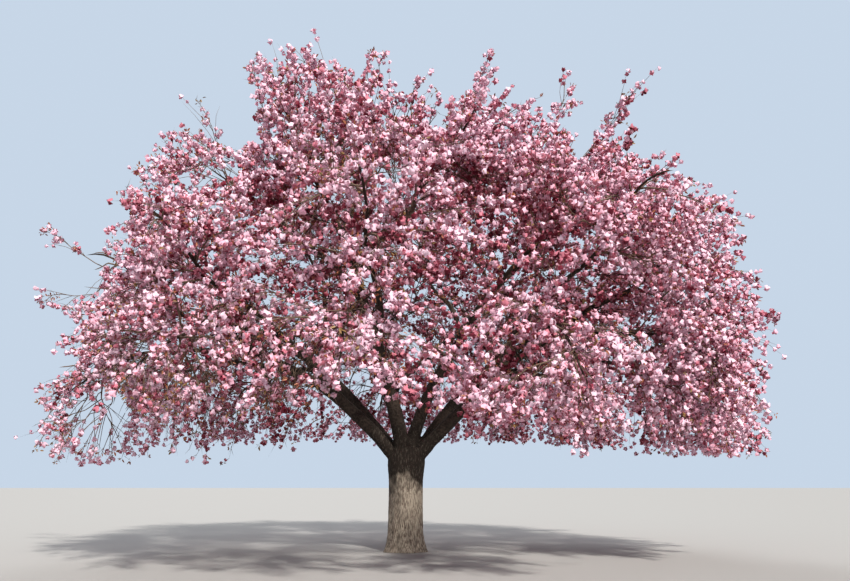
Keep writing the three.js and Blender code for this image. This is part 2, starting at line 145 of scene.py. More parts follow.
# Rings of masses, as in the frame
RINGS = (
    {"ring": "skirt", "count": 11, "first": 2, "reach": 6.4, "height": 4.0, "half": (1.75, 1.85, 1.7),
     "rise": -5, "tilt": 0.15, "tilt_at": 90, "stem_end": (0.55, -0.35), "stem_way": (0.7, -0.75),
     "droop": 0.55, "branches": 7},
    {"ring": "mid", "count": 9, "first": 28, "reach": 6.0, "height": 6.45, "half": (1.85, 2.0, 1.7),
     "rise": 20, "tilt": 0.45, "tilt_at": 60, "stem_end": (0.55, 0.3), "stem_way": (0.7, -0.2),
     "droop": 0.12, "branches": 7},
    {"ring": "upper", "count": 7, "first": 32, "reach": 3.6, "height": 8.45, "half": (1.8, 1.8, 1.5),
     "rise": 45, "tilt": 0.35, "tilt_at": 190, "stem_end": (0.55, 0.3), "stem_way": (0.7, 0.5),
     "droop": -0.1, "branches": 7},
    {"ring": "top", "count": 2, "first": 20, "reach": 1.2, "height": 9.15, "half": (1.6, 1.6, 1.1),
     "rise": 70, "tilt": 0.2, "tilt_at": 200, "stem_end": (0.1, 0.6), "stem_way": (0.1, 1),
     "droop": -0.25, "branches": 6},
)
RING_SCATTER = {"azimuth": 5, "reach": 0.25, "height": 0.2}

# Boughs and stems
BOUGH_TIP = 0.055
SIDE_BOUGH_TIP = 0.042
SIDE_BOUGH_SHARE = 0.72
ENTRY = 1.5
SKIRT_LIFT = 0.55
BOUGH_PULL = 0.36
BOUGH_WAVER = 0.1
SIDE_BOUGH_WAVER = 0.06
WAVES = ((2, (0.6, 1)), (4, (0.25, 0.5)))
WAVE_LIFT = 0.6
WAVE_OFFSET = 1.7
STEM_TIP = 0.014
STEM_WAVER = 0.05
BRANCH_SHARE = 0.8
BRANCH_REACH = 0.64
BRANCH_SETBACK = 0.22
BRANCH_STARTS = np.linspace(0.08, 0.9, 12)
# Lowest tips by azimuth, as in the frame
LOWEST = (
    (0, 2.2), (30, 2.5), (60, 2.8), (120, 2.8), (150, 2.6), (180, 2.0), (210, 2.0), (225, 2.4),
    (240, 2.7), (258, 2.75), (268, 2.9), (278, 2.6), (290, 2.4), (305, 2.3), (320, 2.05), (345, 2.15),
    (360, 2.2),
)
CELL_RANGE = 6.0

# Finer growth in a mass. Main branches follow the frame, and filling ones spread wide between them
FILLING_BRANCHES = 4
FILLING_REACH = (0.5, 0.9, 0.6)
FILLING_TURN = 1.3
BRANCH_RADII = (0.022, 0.009)
BRANCH_WAVER = 0.05
BRANCH_LEAVING = {"parent": 0.5, "up": 0.2}
BRANCH_OUTWARD = 0.2

# Thin paths of three kinds. How far each heads along its bearer and out from it, the range of its
# rise and what droop takes from it, its sag and what droop adds to it, its waver, its steps, the
# room it keeps from the limbs, its length and its radii
TWIG = {
    "along": 0.75, "out": 0.7, "rise": (-0.25, 0.35), "drooped": 0.35, "sag": (0.13, 0.27),
    "waver": 0.03, "steps": 3, "room": 0.1, "length": (0.7, 1.2), "radii": (0.009, 0.0045),
}
WHIP = {
    "along": 0.9, "out": 0.4, "rise": (-0.15, 0.4), "drooped": 0.3, "sag": (0.15, 0.4),
    "waver": 0.05, "steps": 3, "room": 0.08, "length": (0.8, 1.5), "radii": (0.0065, 0.003),
}
SHOOT = {
    "along": 0.6, "out": 0.8, "rise": (-0.2, 0.5), "drooped": 0.35, "sag": (0.1, 0.2),
    "waver": 0.04, "steps": 1, "room": 0.06, "length": (0.12, 0.36), "radii": (0.0055, 0.003),
}
SHORTER = (1, 0.8, 0.62, 0.45)
SIDE_LIFT = 0.7
# Where they stand on what bears them, and how far they stray from even places
TWIG_SHARES = (0.14, 1.0)
TWIG_STRAY = 0.03
FEWEST_TWIGS = 4
TIP_DROOP = 0.2
SHOOT_SHARES = (0.22, 0.95)
SHOOT_STRAY = 0.06
SHORT_TWIG = 0.5
WHIP_SHARES = (0.3, 0.95)
WHIPS_PER_METRE = 2.2
FEWEST_WHIPS = 2
WHIP_FULLNESS = 2.0
# Share of each kind that is bare at its foot, and how far apart its blossom stands
BLOSSOM_RUNS = {"shoots": (0.15, 1.0), "twigs": (0.35, 1.2), "whips": (0.6, 1.6)}
# How far finer twigs may reach past the plane between two masses, and past the frame's box
MINGLE = 0.45
PROUD = 0.022
BLOSSOM_ROOM = 0.12

# The crown's shell from its lowest edge to its top, as reach and height. Where a point on it is
# far from every branch, a filling branch grows there from the nearest stem or bough
SHELL = (
    (5.2, 3.0), (6.6, 3.7), (6.9, 5.1), (6.6, 6.5), (5.6, 7.8), (4.2, 8.8), (2.2, 9.6), (0.0, 9.9),
)
SHELL_LAYERS = ((1.0, 220), (0.78, 80), (0.5, 24))
SHELL_ROOM = 0.85
LAYER_FOOT = 3.0
# Where later branches may leave earlier ones: the first share on each kind of limb, the last share,
# and how many places back from the nearest they leave
BEARS_FROM = {"stem": 0.1, "bough": 0.4, "branch": 0.25}
BEARS_TO = 0.95
BEARING_STEPS = 12
BEARING_SETBACKS = (1, 4)
LONGEST_FILLER = 3.2
OUTWARD_RUN = 0.11
FILLER_RADII = (0.012, 0.006)

# The crown's outline seen from the front: its reach from a heart on the trunk's plane, by bearing
# from the right over the top, and how far twigs play about it
OUTLINE_HEART = (0.0, 3.6)
OUTLINE = (
    (-15, 7.9), (0, 8.2), (12, 8.7), (24, 8.5), (30, 8.9), (38, 8.4), (44, 8.0), (52, 8.1), (56, 7.4),
    (64, 7.4), (70, 7.6), (76, 7.4), (82, 6.9), (88, 7.4), (92, 7.1), (96, 8.0), (101, 8.0), (106, 8.9),
    (112, 9.3), (115, 8.0), (118, 7.3), (126, 7.3), (130, 8.4), (134, 8.6), (140, 8.0), (144, 8.4),
    (150, 7.8), (158, 7.6), (163, 8.6), (168, 8.0), (176, 8.0), (181, 8.6), (186, 8.4), (192, 8.0),
)
OUTLINE_PLAY = (0.0, 0.45)
LEAD_PLAY = (0.4, 0.35)
# Leading shoots that carry the crown out to this outline: their bearings, how far inside it they
# end, how far in front of the trunk at the sides and at the top, and how bushy they are
LEAD_BEARINGS = (-11, 190)
LEADS_APART = 4.0
LEAD_INSETS = (0.0, 0.6, 1.2)
LEAD_DEPTHS = ((-0.8, -2.2), (-2.7, -3.4))
LEAD_STAGGER = 0.5
LEAD_BUSHY = (0.5, 0.7, 0.9)
LEAD_ROOM = 0.4
LEAD_FULL = 1.5
# Longer single shoots that stand out of it, in front and behind: where each one ends
SPIRES = (
    (1.8, -2.5, 10.6), (3.6, -2.0, 10.1), (5.1, -1.5, 10.3), (-0.6, -2.5, 10.7), (0.2, -2.5, 9.9),
    (-4.7, -1.0, 10.2), (-3.4, -2.0, 10.7), (-8.2, -1.0, 7.3), (-8.2, -1.0, 5.8), (8.3, -1.0, 5.4),
    (-2.6, 2.4, 10.2), (0.8, 3.0, 10.3), (3.4, 2.8, 9.9), (-5.2, 3.6, 9.0), (5.9, 3.2, 8.7),
    (1.0, 7.6, 7.6), (-2.8, 7.4, 7.4), (-7.0, 3.8, 6.6),
)
SPIRE_BUSHY = 0.35
# Bushy ones that close the front between two masses
CLOSING_SHOOTS = ((-2.6, -4.3, 5.5), (-2.9, -3.8, 6.0), (0.4, -4.3, 5.2), (0.5, -3.8, 5.8))
LEADING_TIP = 0.007

# Openings seen from the front: place across and height on the trunk's plane, radius, and the
# share that stays
OPENINGS = (
    (-5.2, 9.0, 0.4, 0.1), (-4.5, 9.2, 0.45, 0.1), (-3.5, 9.4, 0.3, 0.2), (-4.1, 10.2, 0.45, 0.1),
    (-7.0, 8.0, 0.3, 0.2), (-6.1, 8.0, 0.3, 0.2), (-7.9, 6.4, 0.6, 0.1), (-7.2, 3.0, 0.8, 0.12),
    (-6.4, 4.6, 0.4, 0.25), (-8.1, 4.4, 0.3, 0.25), (-0.4, 9.1, 0.4, 0.2), (-0.1, 10.8, 0.3, 0.25),
    (0.8, 10.5, 0.3, 0.2), (4.3, 9.8, 0.3, 0.2), (-1.1, 3.9, 0.35, 0.1), (-0.6, 3.4, 0.3, 0.1),
)

# Inner branches along the outer part of each bough: where they start, how far apart, how long
INNER_SHARES = (0.36, 0.96)
INNER_SPACING = 0.28
INNER_LENGTHS = (0.7, 1.3)
INNER_RADII = (0.016, 0.007)
INNER_LEAVING = {"along": 0.5, "out": 0.9, "rise": 0.15}
INNER_ROOM = 0.1
FEWEST_INNER = 2
INNER_BUSHY = 0.6
INNER_FULLNESS = 0.32

# Tints of blossom: shares of the sprays that are pale, pink and deep, and of clusters that stray
TINT_SHARES = (0.56, 0.34, 0.1)
TINT_STRAYS = 0.35
FACE_SHADES = 0.08
# Painted shade: inside this share of the shell's size, give or take, tints are one step deeper
PAINTED_SHADE_INSIDE = (0.8, 0.92)
# Branches that get this far out by that share of their length have the outer twigs' bark; the stems,
# the other branches and the twigs inside the crown take the same bark darkened as painted shade
OUTER_SHARE = 0.8
OUTER_JUDGED_AT = 0.7
# Where the flowers look away from
CROWN_HEART = (0.0, 0.0, 2.5)

# Share of the shoots that bear blossom, by azimuth, high in the crown and low in it
FULLNESS_HIGH = ((0, 1.0), (90, 0.85), (150, 0.6), (190, 0.42), (210, 0.5), (226, 0.95), (245, 0.9),
                 (258, 0.7), (278, 0.75), (295, 0.95), (360, 1.0))
FULLNESS_LOW = ((0, 0.9), (60, 0.75), (90, 0.6), (150, 0.4), (190, 0.32), (225, 0.28), (250, 0.28),
                (262, 0.4), (268, 0.85), (360, 0.9))
FULLNESS_HEIGHTS = (3.2, 4.8)
CROWN_THINS_AT = 8.6
CROWN_THINNING = 0.35
EDGE_THINS_AT = 6.4
EDGE_THINNING = 0.2
# Share of the shell's size inside which the shoots bear less, and how much less at the heart
BARE_INSIDE = ((0.5, 0.45), (0.8, 1.0))


def unit(vectors):
    """Vectors made one metre long."""
    return vectors / (np.linalg.norm(vectors, axis=-1, keepdims=True) + 1e-12)


def heading(azimuth, rise):
    a, e = math.radians(azimuth), math.radians(rise)
    return np.array([math.cos(a) * math.cos(e), math.sin(a) * math.cos(e), math.sin(e)])


def place(azimuth, reach, height):
    return heading(azimuth, 0) * reach + UP * height


def turn_between(a, b):
    return abs((a - b + 540) % 360 - 180)


def azimuths(points):
    return np.degrees(np.arctan2(points[:, 1], points[:, 0])) % 360


def by_row(points, rows):
    """Values read off a short table, between its rows."""
    return np.interp(points, *zip(*rows))


class Draws:
    """Seeded draws between 0 and 1, the same as the frame's."""

    def __init__(self, seed):
        self.state = seed % 2147483646 + 1
        for _ in range(3):
            self.next()

    def next(self):
        self.state = self.state * 48271 % 2147483647
        return self.state / 2147483647

    def between(self, low, high):
        return low + (high - low) * self.next()


class Limb:
    """A tapering limb along a cubic curve, with a small seeded waver."""

    def __init__(self, start, leaving, end, arriving, radii, seed, waver):
        pull = np.linalg.norm(end - start) * BOUGH_PULL
        self.knots = (start, start + unit(leaving) * pull, end - unit(arriving) * pull, end)
        self.radii = radii
        chord = unit(end - start)
        self.side = unit(np.cross(chord, UP))
        self.lift = np.cross(self.side, chord)
        draws = Draws(seed * LIMB_SEED[0] + LIMB_SEED[1])
        self.waves = [
            (turns, waver * draws.between(*size), draws.between(0, FULL_TURN))
            for turns, size in WAVES
        ]
        self.parent = None
        self.foot_way = None

    def at(self, share):
        t = np.asarray(share, float)[..., None]
        a, b, c, d = self.knots
        s = 1 - t
        points = s ** 3 * a + 3 * s * s * t * b + 3 * s * t * t * c + t ** 3 * d
        hold = np.sin(math.pi * t)
        for turns, size, phase in self.waves:
            across = np.sin(turns * math.pi * t + phase)
            along = WAVE_LIFT * np.cos(turns * math.pi * t + WAVE_OFFSET * phase)
            points = points + hold * size * (self.side * across + self.lift * along)
        return points

    def way(self, share):
        if np.ndim(share) == 0 and share == 0 and self.foot_way is not None:
            return self.foot_way
        share = np.asarray(share, float)
        return unit(self.at(np.minimum(1, share + 0.01)) - self.at(np.maximum(0, share - 0.01)))

    def radius(self, share):
        return self.radii[0] + (self.radii[1] - self.radii[0]) * np.asarray(share, float)

    def share_at(self, distance):
        """Share of the curve at which it has run a given distance."""
        shares = np.linspace(0, 1, 1001)
        runs = np.cumsum(np.linalg.norm(np.diff(self.at(shares), axis=0), axis=1))
        return shares[1 + int(np.searchsorted(runs, distance))]


class Mass:
    """One mass of blossom: its place, and the limb and stem that carry it."""

    def __init__(self, row, i, index):
        draws = Draws(index * MASS_SEED[0] + MASS_SEED[1])
        scatter = RING_SCATTER
        self.ring = row["ring"]
        self.name = f"{row['ring']}_{i + 1}"
        self.index = index
        self.azimuth = (row["first"] + 360 * i / row["count"]
                        + draws.between(-scatter["azimuth"], scatter["azimuth"]))
        reach = row["reach"] + draws.between(-scatter["reach"], scatter["reach"])
        tilt = row["tilt"] * math.cos(math.radians(self.azimuth - row["tilt_at"]))
        height = row["height"] + tilt + draws.between(-scatter["height"], scatter["height"])
        self.centre = place(self.azimuth, reach, height)
        self.row = row
        self.half = row["half"]
        self.droop = row["droop"]


def entry_point(mass, start):
    """Where a limb that comes from start ends as it enters a mass."""
    towards = unit(mass.centre - start)
    lift = SKIRT_LIFT if mass.ring == "skirt" else 0
    return mass.centre - towards * ENTRY + UP * lift


def fork_limb(mass):
    azimuth, rise, radius, spread = FORK_LIMBS[mass.name]
    start = place(azimuth, spread, FORK_HEIGHT) + np.array([TRUNK_LEAN, 0, 0])
    limb = Limb(start, heading(azimuth, rise), entry_point(mass, start),
                heading(mass.azimuth, mass.row["rise"]), (radius, BOUGH_TIP), mass.index + 1,
                BOUGH_WAVER)
    limb.first_share = limb.share_at(STUB_LENGTH)
    return limb


def side_limb(mass, parent, share):
    start = parent.at(share)
    end = entry_point(mass, start)
    leaving = (parent.way(share) * LEAVING["parent"] + unit(end - start) * LEAVING["straight"]
               + UP * LEAVING["up"])
    radii = (parent.radius(share) * SIDE_BOUGH_SHARE, SIDE_BOUGH_TIP)
    limb = Limb(start, leaving, end, heading(mass.azimuth, mass.row["rise"]), radii,
                mass.index + 1, SIDE_BOUGH_WAVER)
    limb.parent = parent
    return limb


def grow_stem(mass):
    out = heading(mass.azimuth, 0)
    outward, upward = mass.row["stem_end"]
    end = mass.centre + out * outward * mass.half[0] + UP * upward * mass.half[2]
    arriving = out * mass.row["stem_way"][0] + UP * mass.row["stem_way"][1]
    stem = Limb(mass.limb.at(1), mass.limb.way(1), end, arriving,
                (float(mass.limb.radius(1)), STEM_TIP), STEM_SEED + mass.index, STEM_WAVER)
    stem.foot_way = mass.limb.way(1)
    return stem


@lru_cache(maxsize=None)
def grown_masses():
    """Every mass with its limb and its stem, by the frame's rule."""
    masses = []
    for row in RINGS:
        for i in range(row["count"]):
            masses.append(Mass(row, i, len(masses)))
    by_name = {mass.name: mass for mass in masses}
    limbs = {name: fork_limb(by_name[name]) for name in FORK_LIMBS}
    for name, (parent, share) in SIDE_LIMBS.items():
        limbs[name] = side_limb(by_name[name], limbs[parent], share)
    borne = dict.fromkeys(by_name, 0)
    mids = [mass for mass in masses if mass.ring == "mid"]
    for mass in (one for one in masses if one.ring == "skirt"):
        nearest = min(mids, key=lambda one: (turn_between(one.azimuth, mass.azimuth)
                                             + SKIRT_CROWDING * borne[one.name]))
        share = SKIRT_LEAVES_AT + SKIRT_STEP * borne[nearest.name]
        borne[nearest.name] += 1
        limbs[mass.name] = side_limb(mass, limbs[nearest.name], share)
    for mass in masses:
        mass.limb = limbs[mass.name]
        mass.stem = grow_stem(mass)
    return tuple(masses)


@lru_cache(maxsize=None)
def limb_capsules():
    """Short straight lengths that stand for the limbs: starts, ends and radii."""
    shares = np.linspace(0, 1, 13)
    starts, ends, radii = [], [], []
    for mass in grown_masses():
        points = mass.limb.at(shares)
        starts.append(points[:-1])
        ends.append(points[1:])
        radii.append(mass.limb.radius(shares[:-1]))
    return np.concatenate(starts), np.concatenate(ends), np.concatenate(radii)


def above_lowest(points):
    return points[:, 2] > by_row(azimuths(points), LOWEST)


def clear_of_limbs(points, room):
    """Whether each point stands clear of every limb by that much room."""
    starts, ends, radii = limb_capsules()
    run = ends - starts
    length = (run ** 2).sum(1)
    clear = np.ones(len(points), bool)
    for start, way, square, radius in zip(starts, run, length, radii):
        near = np.abs(points - start - way / 2).max(1) < radius + room + math.sqrt(square) / 2
        if not near.any():
            continue
        offset = points[near] - start
        along = np.clip(offset @ way / square, 0, 1)[:, None]
        clear[near] &= np.linalg.norm(offset - along * way, axis=1) > radius + room
    return clear


def in_own_space(points, mass):
    """Whether each point lies on the mass's own side of the planes, above the lowest tips."""
    inside = above_lowest(points)
    for other in grown_masses():
        across = other.centre - mass.centre
        apart = np.linalg.norm(across)
        if other is mass or apart > CELL_RANGE:
            continue
        inside &= (points - mass.centre) @ across / apart < apart / 2 + MINGLE
    return inside


def branch_limb(mass, k, count, reach, turned, seed):
    """The k-th branch aims at the k-th of a spiral of points spread over the mass."""
    level = 1 - 2 * (k + 0.5) / count
    ring = math.sqrt(1 - level * level)
    turn = k * GOLDEN_ANGLE + mass.index + turned
    out = heading(mass.azimuth, 0)
    across = np.cross(UP, out)
    a, b, c = np.array(mass.half) * reach
    aim = (mass.centre + out * a * ring * math.cos(turn) + across * b * ring * math.sin(turn)
           + UP * c * level)
    gaps = [np.linalg.norm(mass.stem.at(share) - aim) for share in BRANCH_STARTS]
    share = max(BRANCH_STARTS[0], BRANCH_STARTS[int(np.argmin(gaps))] - BRANCH_SETBACK)
    foot = min(BRANCH_RADII[0], BRANCH_SHARE * float(mass.stem.radius(share)))
    return reaching_limb(mass, mass.stem, share, aim, (foot, BRANCH_RADII[1]), seed)


def reaching_limb(mass, parent, share, aim, radii, seed):
    """A branch from a share of its parent to a point, curving out and down as its mass does."""
    start = parent.at(share)
    straight = unit(aim - start)
    leaving = straight + parent.way(share) * BRANCH_LEAVING["parent"] + UP * BRANCH_LEAVING["up"]
    arriving = straight + heading(mass.azimuth, 0) * BRANCH_OUTWARD - UP * mass.droop
    return Limb(start, leaving, aim, arriving, radii, seed, BRANCH_WAVER)


def shell_points(size, count):
    """Points spread evenly over a layer of the shell, each turned on by the golden angle."""
    reach, height = np.array(SHELL).T
    reach = reach * size
    height = LAYER_FOOT + (height - LAYER_FOOT) * size
    areas = np.hypot(np.diff(reach), np.diff(height)) * (reach[1:] + reach[:-1]) / 2
    covered = np.concatenate([[0], np.cumsum(areas)])
    share = (np.arange(count) + 0.5) / count * covered[-1]
    turns = np.arange(count) * GOLDEN_ANGLE + size
    out = np.interp(share, covered, reach)
    up = np.interp(share, covered, height)
    return np.column_stack([out * np.cos(turns), out * np.sin(turns), up])


def share_of_shell(points):
    """How far out each point lies, as a share of the way to the shell."""
    reach, height = np.array(SHELL).T
    out = np.hypot(points[:, 0], points[:, 1])
    up = points[:, 2] - LAYER_FOOT
    rises = np.arctan2(height - LAYER_FOOT, reach)
    sizes = np.hypot(reach, height - LAYER_FOOT)
    return np.hypot(out, up) / np.interp(np.arctan2(up, out), rises, sizes)


def nearest_mass(point):
    return min(grown_masses(), key=lambda mass: np.linalg.norm(mass.centre - point))


def fullness(points):
    """Share of the shoots near each point that bear blossom."""
    azimuth = azimuths(points)
    high, low = by_row(azimuth, FULLNESS_HIGH), by_row(azimuth, FULLNESS_LOW)
    lowest, highest = FULLNESS_HEIGHTS
    mix = np.clip((points[:, 2] - lowest) / (highest - lowest), 0, 1)
    thin = 1 - CROWN_THINNING * np.clip(points[:, 2] - CROWN_THINS_AT, 0, 1)
    reach = np.hypot(points[:, 0], points[:, 1])
    edge = 1 - EDGE_THINNING * np.clip(reach - EDGE_THINS_AT, 0, 1)
    inner = by_row(share_of_shell(points), BARE_INSIDE)
    return (low + (high - low) * mix) * thin * edge * inner


def arching_paths(kind, bases, ways, lengths, sag, rng):
    """Many thin paths that leave their bases and sag under their own weight."""
    s = np.linspace(0, 1, kind["steps"] + 1)[None, :, None]
    fall = UP * sag * s ** 2
    bend = rng.normal(0, kind["waver"], (len(bases), 1, 3)) * 4 * s * (1 - s)
    return bases[:, None] + lengths[:, None, None] * (ways[:, None] * s - fall + bend)


def within_reach(points):
    """Whether each point keeps within the frame's reach, with room for the blossom at its tip."""
    over = (FRAME_HIGH - FRAME_LOW) * PROUD - BLOSSOM_ROOM
    return ((points > FRAME_LOW - over) & (points < FRAME_HIGH + over)).all(1)


def stage_eye():
    return np.array(bpy.context.scene.cherry_stage.eye)


def seen_from_front(points):
    """Where the lines of sight through the points meet the trunk's plane: across and up."""
    eye = stage_eye()
    seen = points - eye
    flat = eye + seen * (-eye[1] / seen[:, 1])[:, None]
    return flat[:, 0], flat[:, 2]


def inside_outline(points, play):
    """Whether each point keeps within the outline seen from the front, with its own play."""
    x, z = seen_from_front(points)
    across, up = x - OUTLINE_HEART[0], z - OUTLINE_HEART[1]
    bearings = (np.degrees(np.arctan2(up, across)) + 90) % 360 - 90
    below = (bearings < OUTLINE[0][0]) | (bearings > OUTLINE[-1][0])
    return below | (np.hypot(across, up) < by_row(bearings, OUTLINE) + play)


def share_kept(points):
    """The share of shoots that stays at each point, as the openings seen from the front allow."""
    x, z = seen_from_front(points)
    share = np.ones(len(points))
    for across, height, radius, kept in OPENINGS:
        inside = np.hypot(x - across, z - height) < radius
        share[inside] = kept
    return share


def fitted_paths(keeper, kind, bases, ways, lengths, sag, rng, bounds=None):
    """Arching paths, each shortened until it keeps to its room; the rest dropped."""
    drawn = arching_paths(kind, bases, ways, lengths, sag, rng)
    middle = kind["steps"] // 2
    kept = np.zeros(len(bases), bool)
    airy = rng.uniform(0, 1, len(bases))
    play = rng.normal(*(bounds or OUTLINE_PLAY), len(bases))
    paths = drawn.copy()
    for scale in SHORTER:
        trial = bases[:, None] + (drawn - bases[:, None]) * scale
        tips = trial[:, -1]
        fits = above_lowest(tips) & above_lowest(trial[:, middle])
        fits &= clear_of_limbs(tips, kind["room"])
        fits &= within_reach(tips) & (airy < share_kept(tips))
        if keeper is not None:
            fits &= in_own_space(tips, keeper)
        if bounds is not None:
            fits &= inside_outline(tips, play)
        fresh = fits & ~kept
        paths[fresh] = trial[fresh]
        kept |= fits
    return paths[kept], np.flatnonzero(kept)


def side_ways(ways, turns, along, out, rises):
    """Headings that leave other headings sideways, each at its own turn round them."""
    flat = unit(np.cross(ways, UP))
    lift = np.cross(flat, ways)
    sideways = flat * np.cos(turns)[:, None] + lift * SIDE_LIFT * np.sin(turns)[:, None]
    return unit(ways * along + sideways * out + UP * rises[:, None])


def sprung_paths(mass, keeper, kind, bases, ways, turns, size, rng, bounds=None, onward=False):
    """Thin paths of one kind that leave their bases sideways, or the last one straight on."""
    count = len(bases)
    rises = rng.uniform(*kind["rise"], count) - kind["drooped"] * mass.droop
    out = side_ways(ways, turns, kind["along"], kind["out"], rises)
    if onward:
        out[-1] = unit(ways[-1] - UP * TIP_DROOP * mass.droop)
    lengths = rng.uniform(*kind["length"], count) * size
    sag, added = kind["sag"]
    return fitted_paths(keeper, kind, bases, out, lengths, sag + added * mass.droop, rng, bounds)


class Growth:
    """All branches, twigs, shoots and whips of the crown, gathered mass by mass."""

    def __init__(self, look):
        self.look = look
        self.branches = []
        self.paths = {"twigs": [], "shoots": [], "whips": []}
        self.sprays = 0
        self.bearers = []
        self.bearing_places = []
        for mass in grown_masses():
            self.may_bear(mass.stem, BEARS_FROM["stem"])
            self.may_bear(mass.limb, BEARS_FROM["bough"])
        for mass in grown_masses():
            self.fill_mass(mass)
            self.fill_inside(mass)
        self.fill_shell()
        self.lead_out()

    def may_bear(self, limb, first):
        """Keep places along a limb where later branches may leave it."""
        shares = np.linspace(first, BEARS_TO, BEARING_STEPS)
        self.bearers.append((limb, shares))
        self.bearing_places.append(limb.at(shares))

    def add_branch(self, mass, limb):
        self.branches.append((mass, limb))
        self.may_bear(limb, BEARS_FROM["branch"])

    def bearing_point(self, aim, setback):
        """Set back from the nearest place on a limb: the gap, the limb and the share."""
        gaps = np.linalg.norm(np.concatenate(self.bearing_places) - aim, axis=1)
        nearest = int(np.argmin(gaps))
        limb, shares = self.bearers[nearest // BEARING_STEPS]
        return gaps[nearest], limb, shares[max(0, nearest % BEARING_STEPS - setback)]

    def fill_mass(self, mass):
        """The main and the filling branches of a mass, and the twigs of its stem."""
        rng = np.random.default_rng(SEEDS["mass_twigs"] + mass.index)
        main = mass.row["branches"]
        seed = SEEDS["branches"] + mass.index * BRANCH_SEEDS
        limbs = [branch_limb(mass, k, main, BRANCH_REACH, 0, seed + k) for k in range(main)]
        seed += FILLING_SEEDS_FROM
        limbs += [branch_limb(mass, k, FILLING_BRANCHES, FILLING_REACH, FILLING_TURN, seed + k)
                  for k in range(FILLING_BRANCHES)]
        for limb in limbs:
            if in_own_space(limb.at(1)[None], mass)[0]:
                self.add_branch(mass, limb)
                self.bear_twigs(mass, mass, limb, rng)
        self.bear_twigs(mass, mass, mass.stem, rng)

    def fill_inside(self, mass):
        """Short branches round the outer part of a mass's bough."""
        rng = np.random.default_rng(SEEDS["inner_twigs"] + mass.index)
        limb = mass.limb
        first, last = INNER_SHARES
        run = np.linalg.norm(limb.at(last) - limb.at(first))
        count = max(FEWEST_INNER, round(run / INNER_SPACING))
        shares = np.linspace(first, last, count)
        turns = np.arange(count) * GOLDEN_ANGLE + mass.index
        ways = side_ways(limb.way(shares), turns, INNER_LEAVING["along"], INNER_LEAVING["out"],
                         np.full(count, INNER_LEAVING["rise"]))
        aims = limb.at(shares) + ways * rng.uniform(*INNER_LENGTHS, (count, 1))
        seed = SEEDS["inner"] + INNER_SEEDS * mass.index
        for k, (share, aim) in enumerate(zip(shares, aims)):
            if above_lowest(aim[None])[0] and clear_of_limbs(aim[None], INNER_ROOM)[0]:
                branch = reaching_limb(mass, limb, share, aim, INNER_RADII, seed + k)
                self.add_branch(mass, branch)
                self.bear_twigs(mass, None, branch, rng, INNER_BUSHY, INNER_FULLNESS)

    def fill_shell(self):
        """Filling branches where the shell is bare."""
        reached = [limb.at(1) for _, limb in self.branches]
        aims = np.concatenate([shell_points(size, count) for size, count in SHELL_LAYERS])
        for k, aim in enumerate(aims):
            if np.linalg.norm(np.array(reached) - aim, axis=1).min() < SHELL_ROOM:
                continue
            reached.append(aim)
            self.reach_out(aim, SEEDS["shell"] + k)

    def lead_out(self):
        """Leading shoots out to the outline, where the crown falls short of it, and longer ones."""
        eye = stage_eye()
        reached = [limb.at(1) for _, limb in self.branches]
        for k, bearing in enumerate(np.arange(*LEAD_BEARINGS, LEADS_APART)):
            turn = math.radians(bearing)
            side, top = (depths[k % 2] for depths in LEAD_DEPTHS)
            depth = side + (top - side) * max(0, math.sin(turn))
            for j, (inset, bushy) in enumerate(zip(LEAD_INSETS, LEAD_BUSHY)):
                reach = float(by_row(bearing, OUTLINE)) - inset
                flat = np.array([OUTLINE_HEART[0] + reach * math.cos(turn), 0,
                                 OUTLINE_HEART[1] + reach * math.sin(turn)])
                aim = eye + (flat - eye) * (1 - (depth - LEAD_STAGGER * j) / eye[1])
                near = np.linalg.norm(np.array(reached) - aim, axis=1).min()
                if near > LEAD_ROOM and above_lowest(aim[None])[0] and within_reach(aim[None])[0]:
                    reached.append(aim)
                    seed = SEEDS["leads"] + len(LEAD_INSETS) * k + j
                    self.reach_out(aim, seed, bushy, LEAD_FULL, LEAD_PLAY)
        for k, aim in enumerate(SPIRES):
            self.reach_out(np.array(aim), SEEDS["spires"] + k, SPIRE_BUSHY, LEAD_FULL, None)
        for k, aim in enumerate(CLOSING_SHOOTS):
            self.reach_out(np.array(aim), SEEDS["closing"] + k)

    def reach_out(self, aim, seed, bushy=1.0, full=1.0, bounds=OUTLINE_PLAY):
        """A branch to a point from the nearest limb that may bear it, with its twigs."""
        mass = nearest_mass(aim)
        inward = aim + (np.array(CROWN_HEART) - aim) * OUTWARD_RUN
        gap, parent, share = self.bearing_point(inward, BEARING_SETBACKS[seed % 2])
        if gap > LONGEST_FILLER:
            return
        foot = min(FILLER_RADII[0] + FILLER_RADII[1] * gap, BRANCH_SHARE * float(parent.radius(share)))
        limb = reaching_limb(mass, parent, share, aim, (foot, LEADING_TIP), seed)
        self.add_branch(mass, limb)
        self.bear_twigs(mass, None, limb, np.random.default_rng(seed), bushy, full, bounds)

    def bear_twigs(self, mass, keeper, limb, rng, bushy=1.0, full=1.0, bounds=OUTLINE_PLAY):
        """Twigs along a branch, turned round it by the golden angle."""
        run = np.linalg.norm(limb.at(1) - limb.at(0))
        count = max(FEWEST_TWIGS, round(self.look.twigs_per_metre * run))
        shares = np.linspace(*TWIG_SHARES, count) + rng.uniform(-TWIG_STRAY, TWIG_STRAY, count)
        here = np.clip(shares, 0, 1)
        turns = np.arange(count) * GOLDEN_ANGLE + rng.uniform(0, FULL_TURN)
        twigs, kept = sprung_paths(
            mass, keeper, TWIG, limb.at(here), limb.way(here), turns, bushy, rng, bounds, onward=True)
        sprays = self.sprays + kept
        self.sprays += count
        if len(twigs):
            self.paths["twigs"].append((mass, twigs, sprays, full))
            self.bear_shoots(mass, keeper, twigs, sprays, rng, full)
        self.bear_whips(mass, keeper, limb, rng, run, bounds)

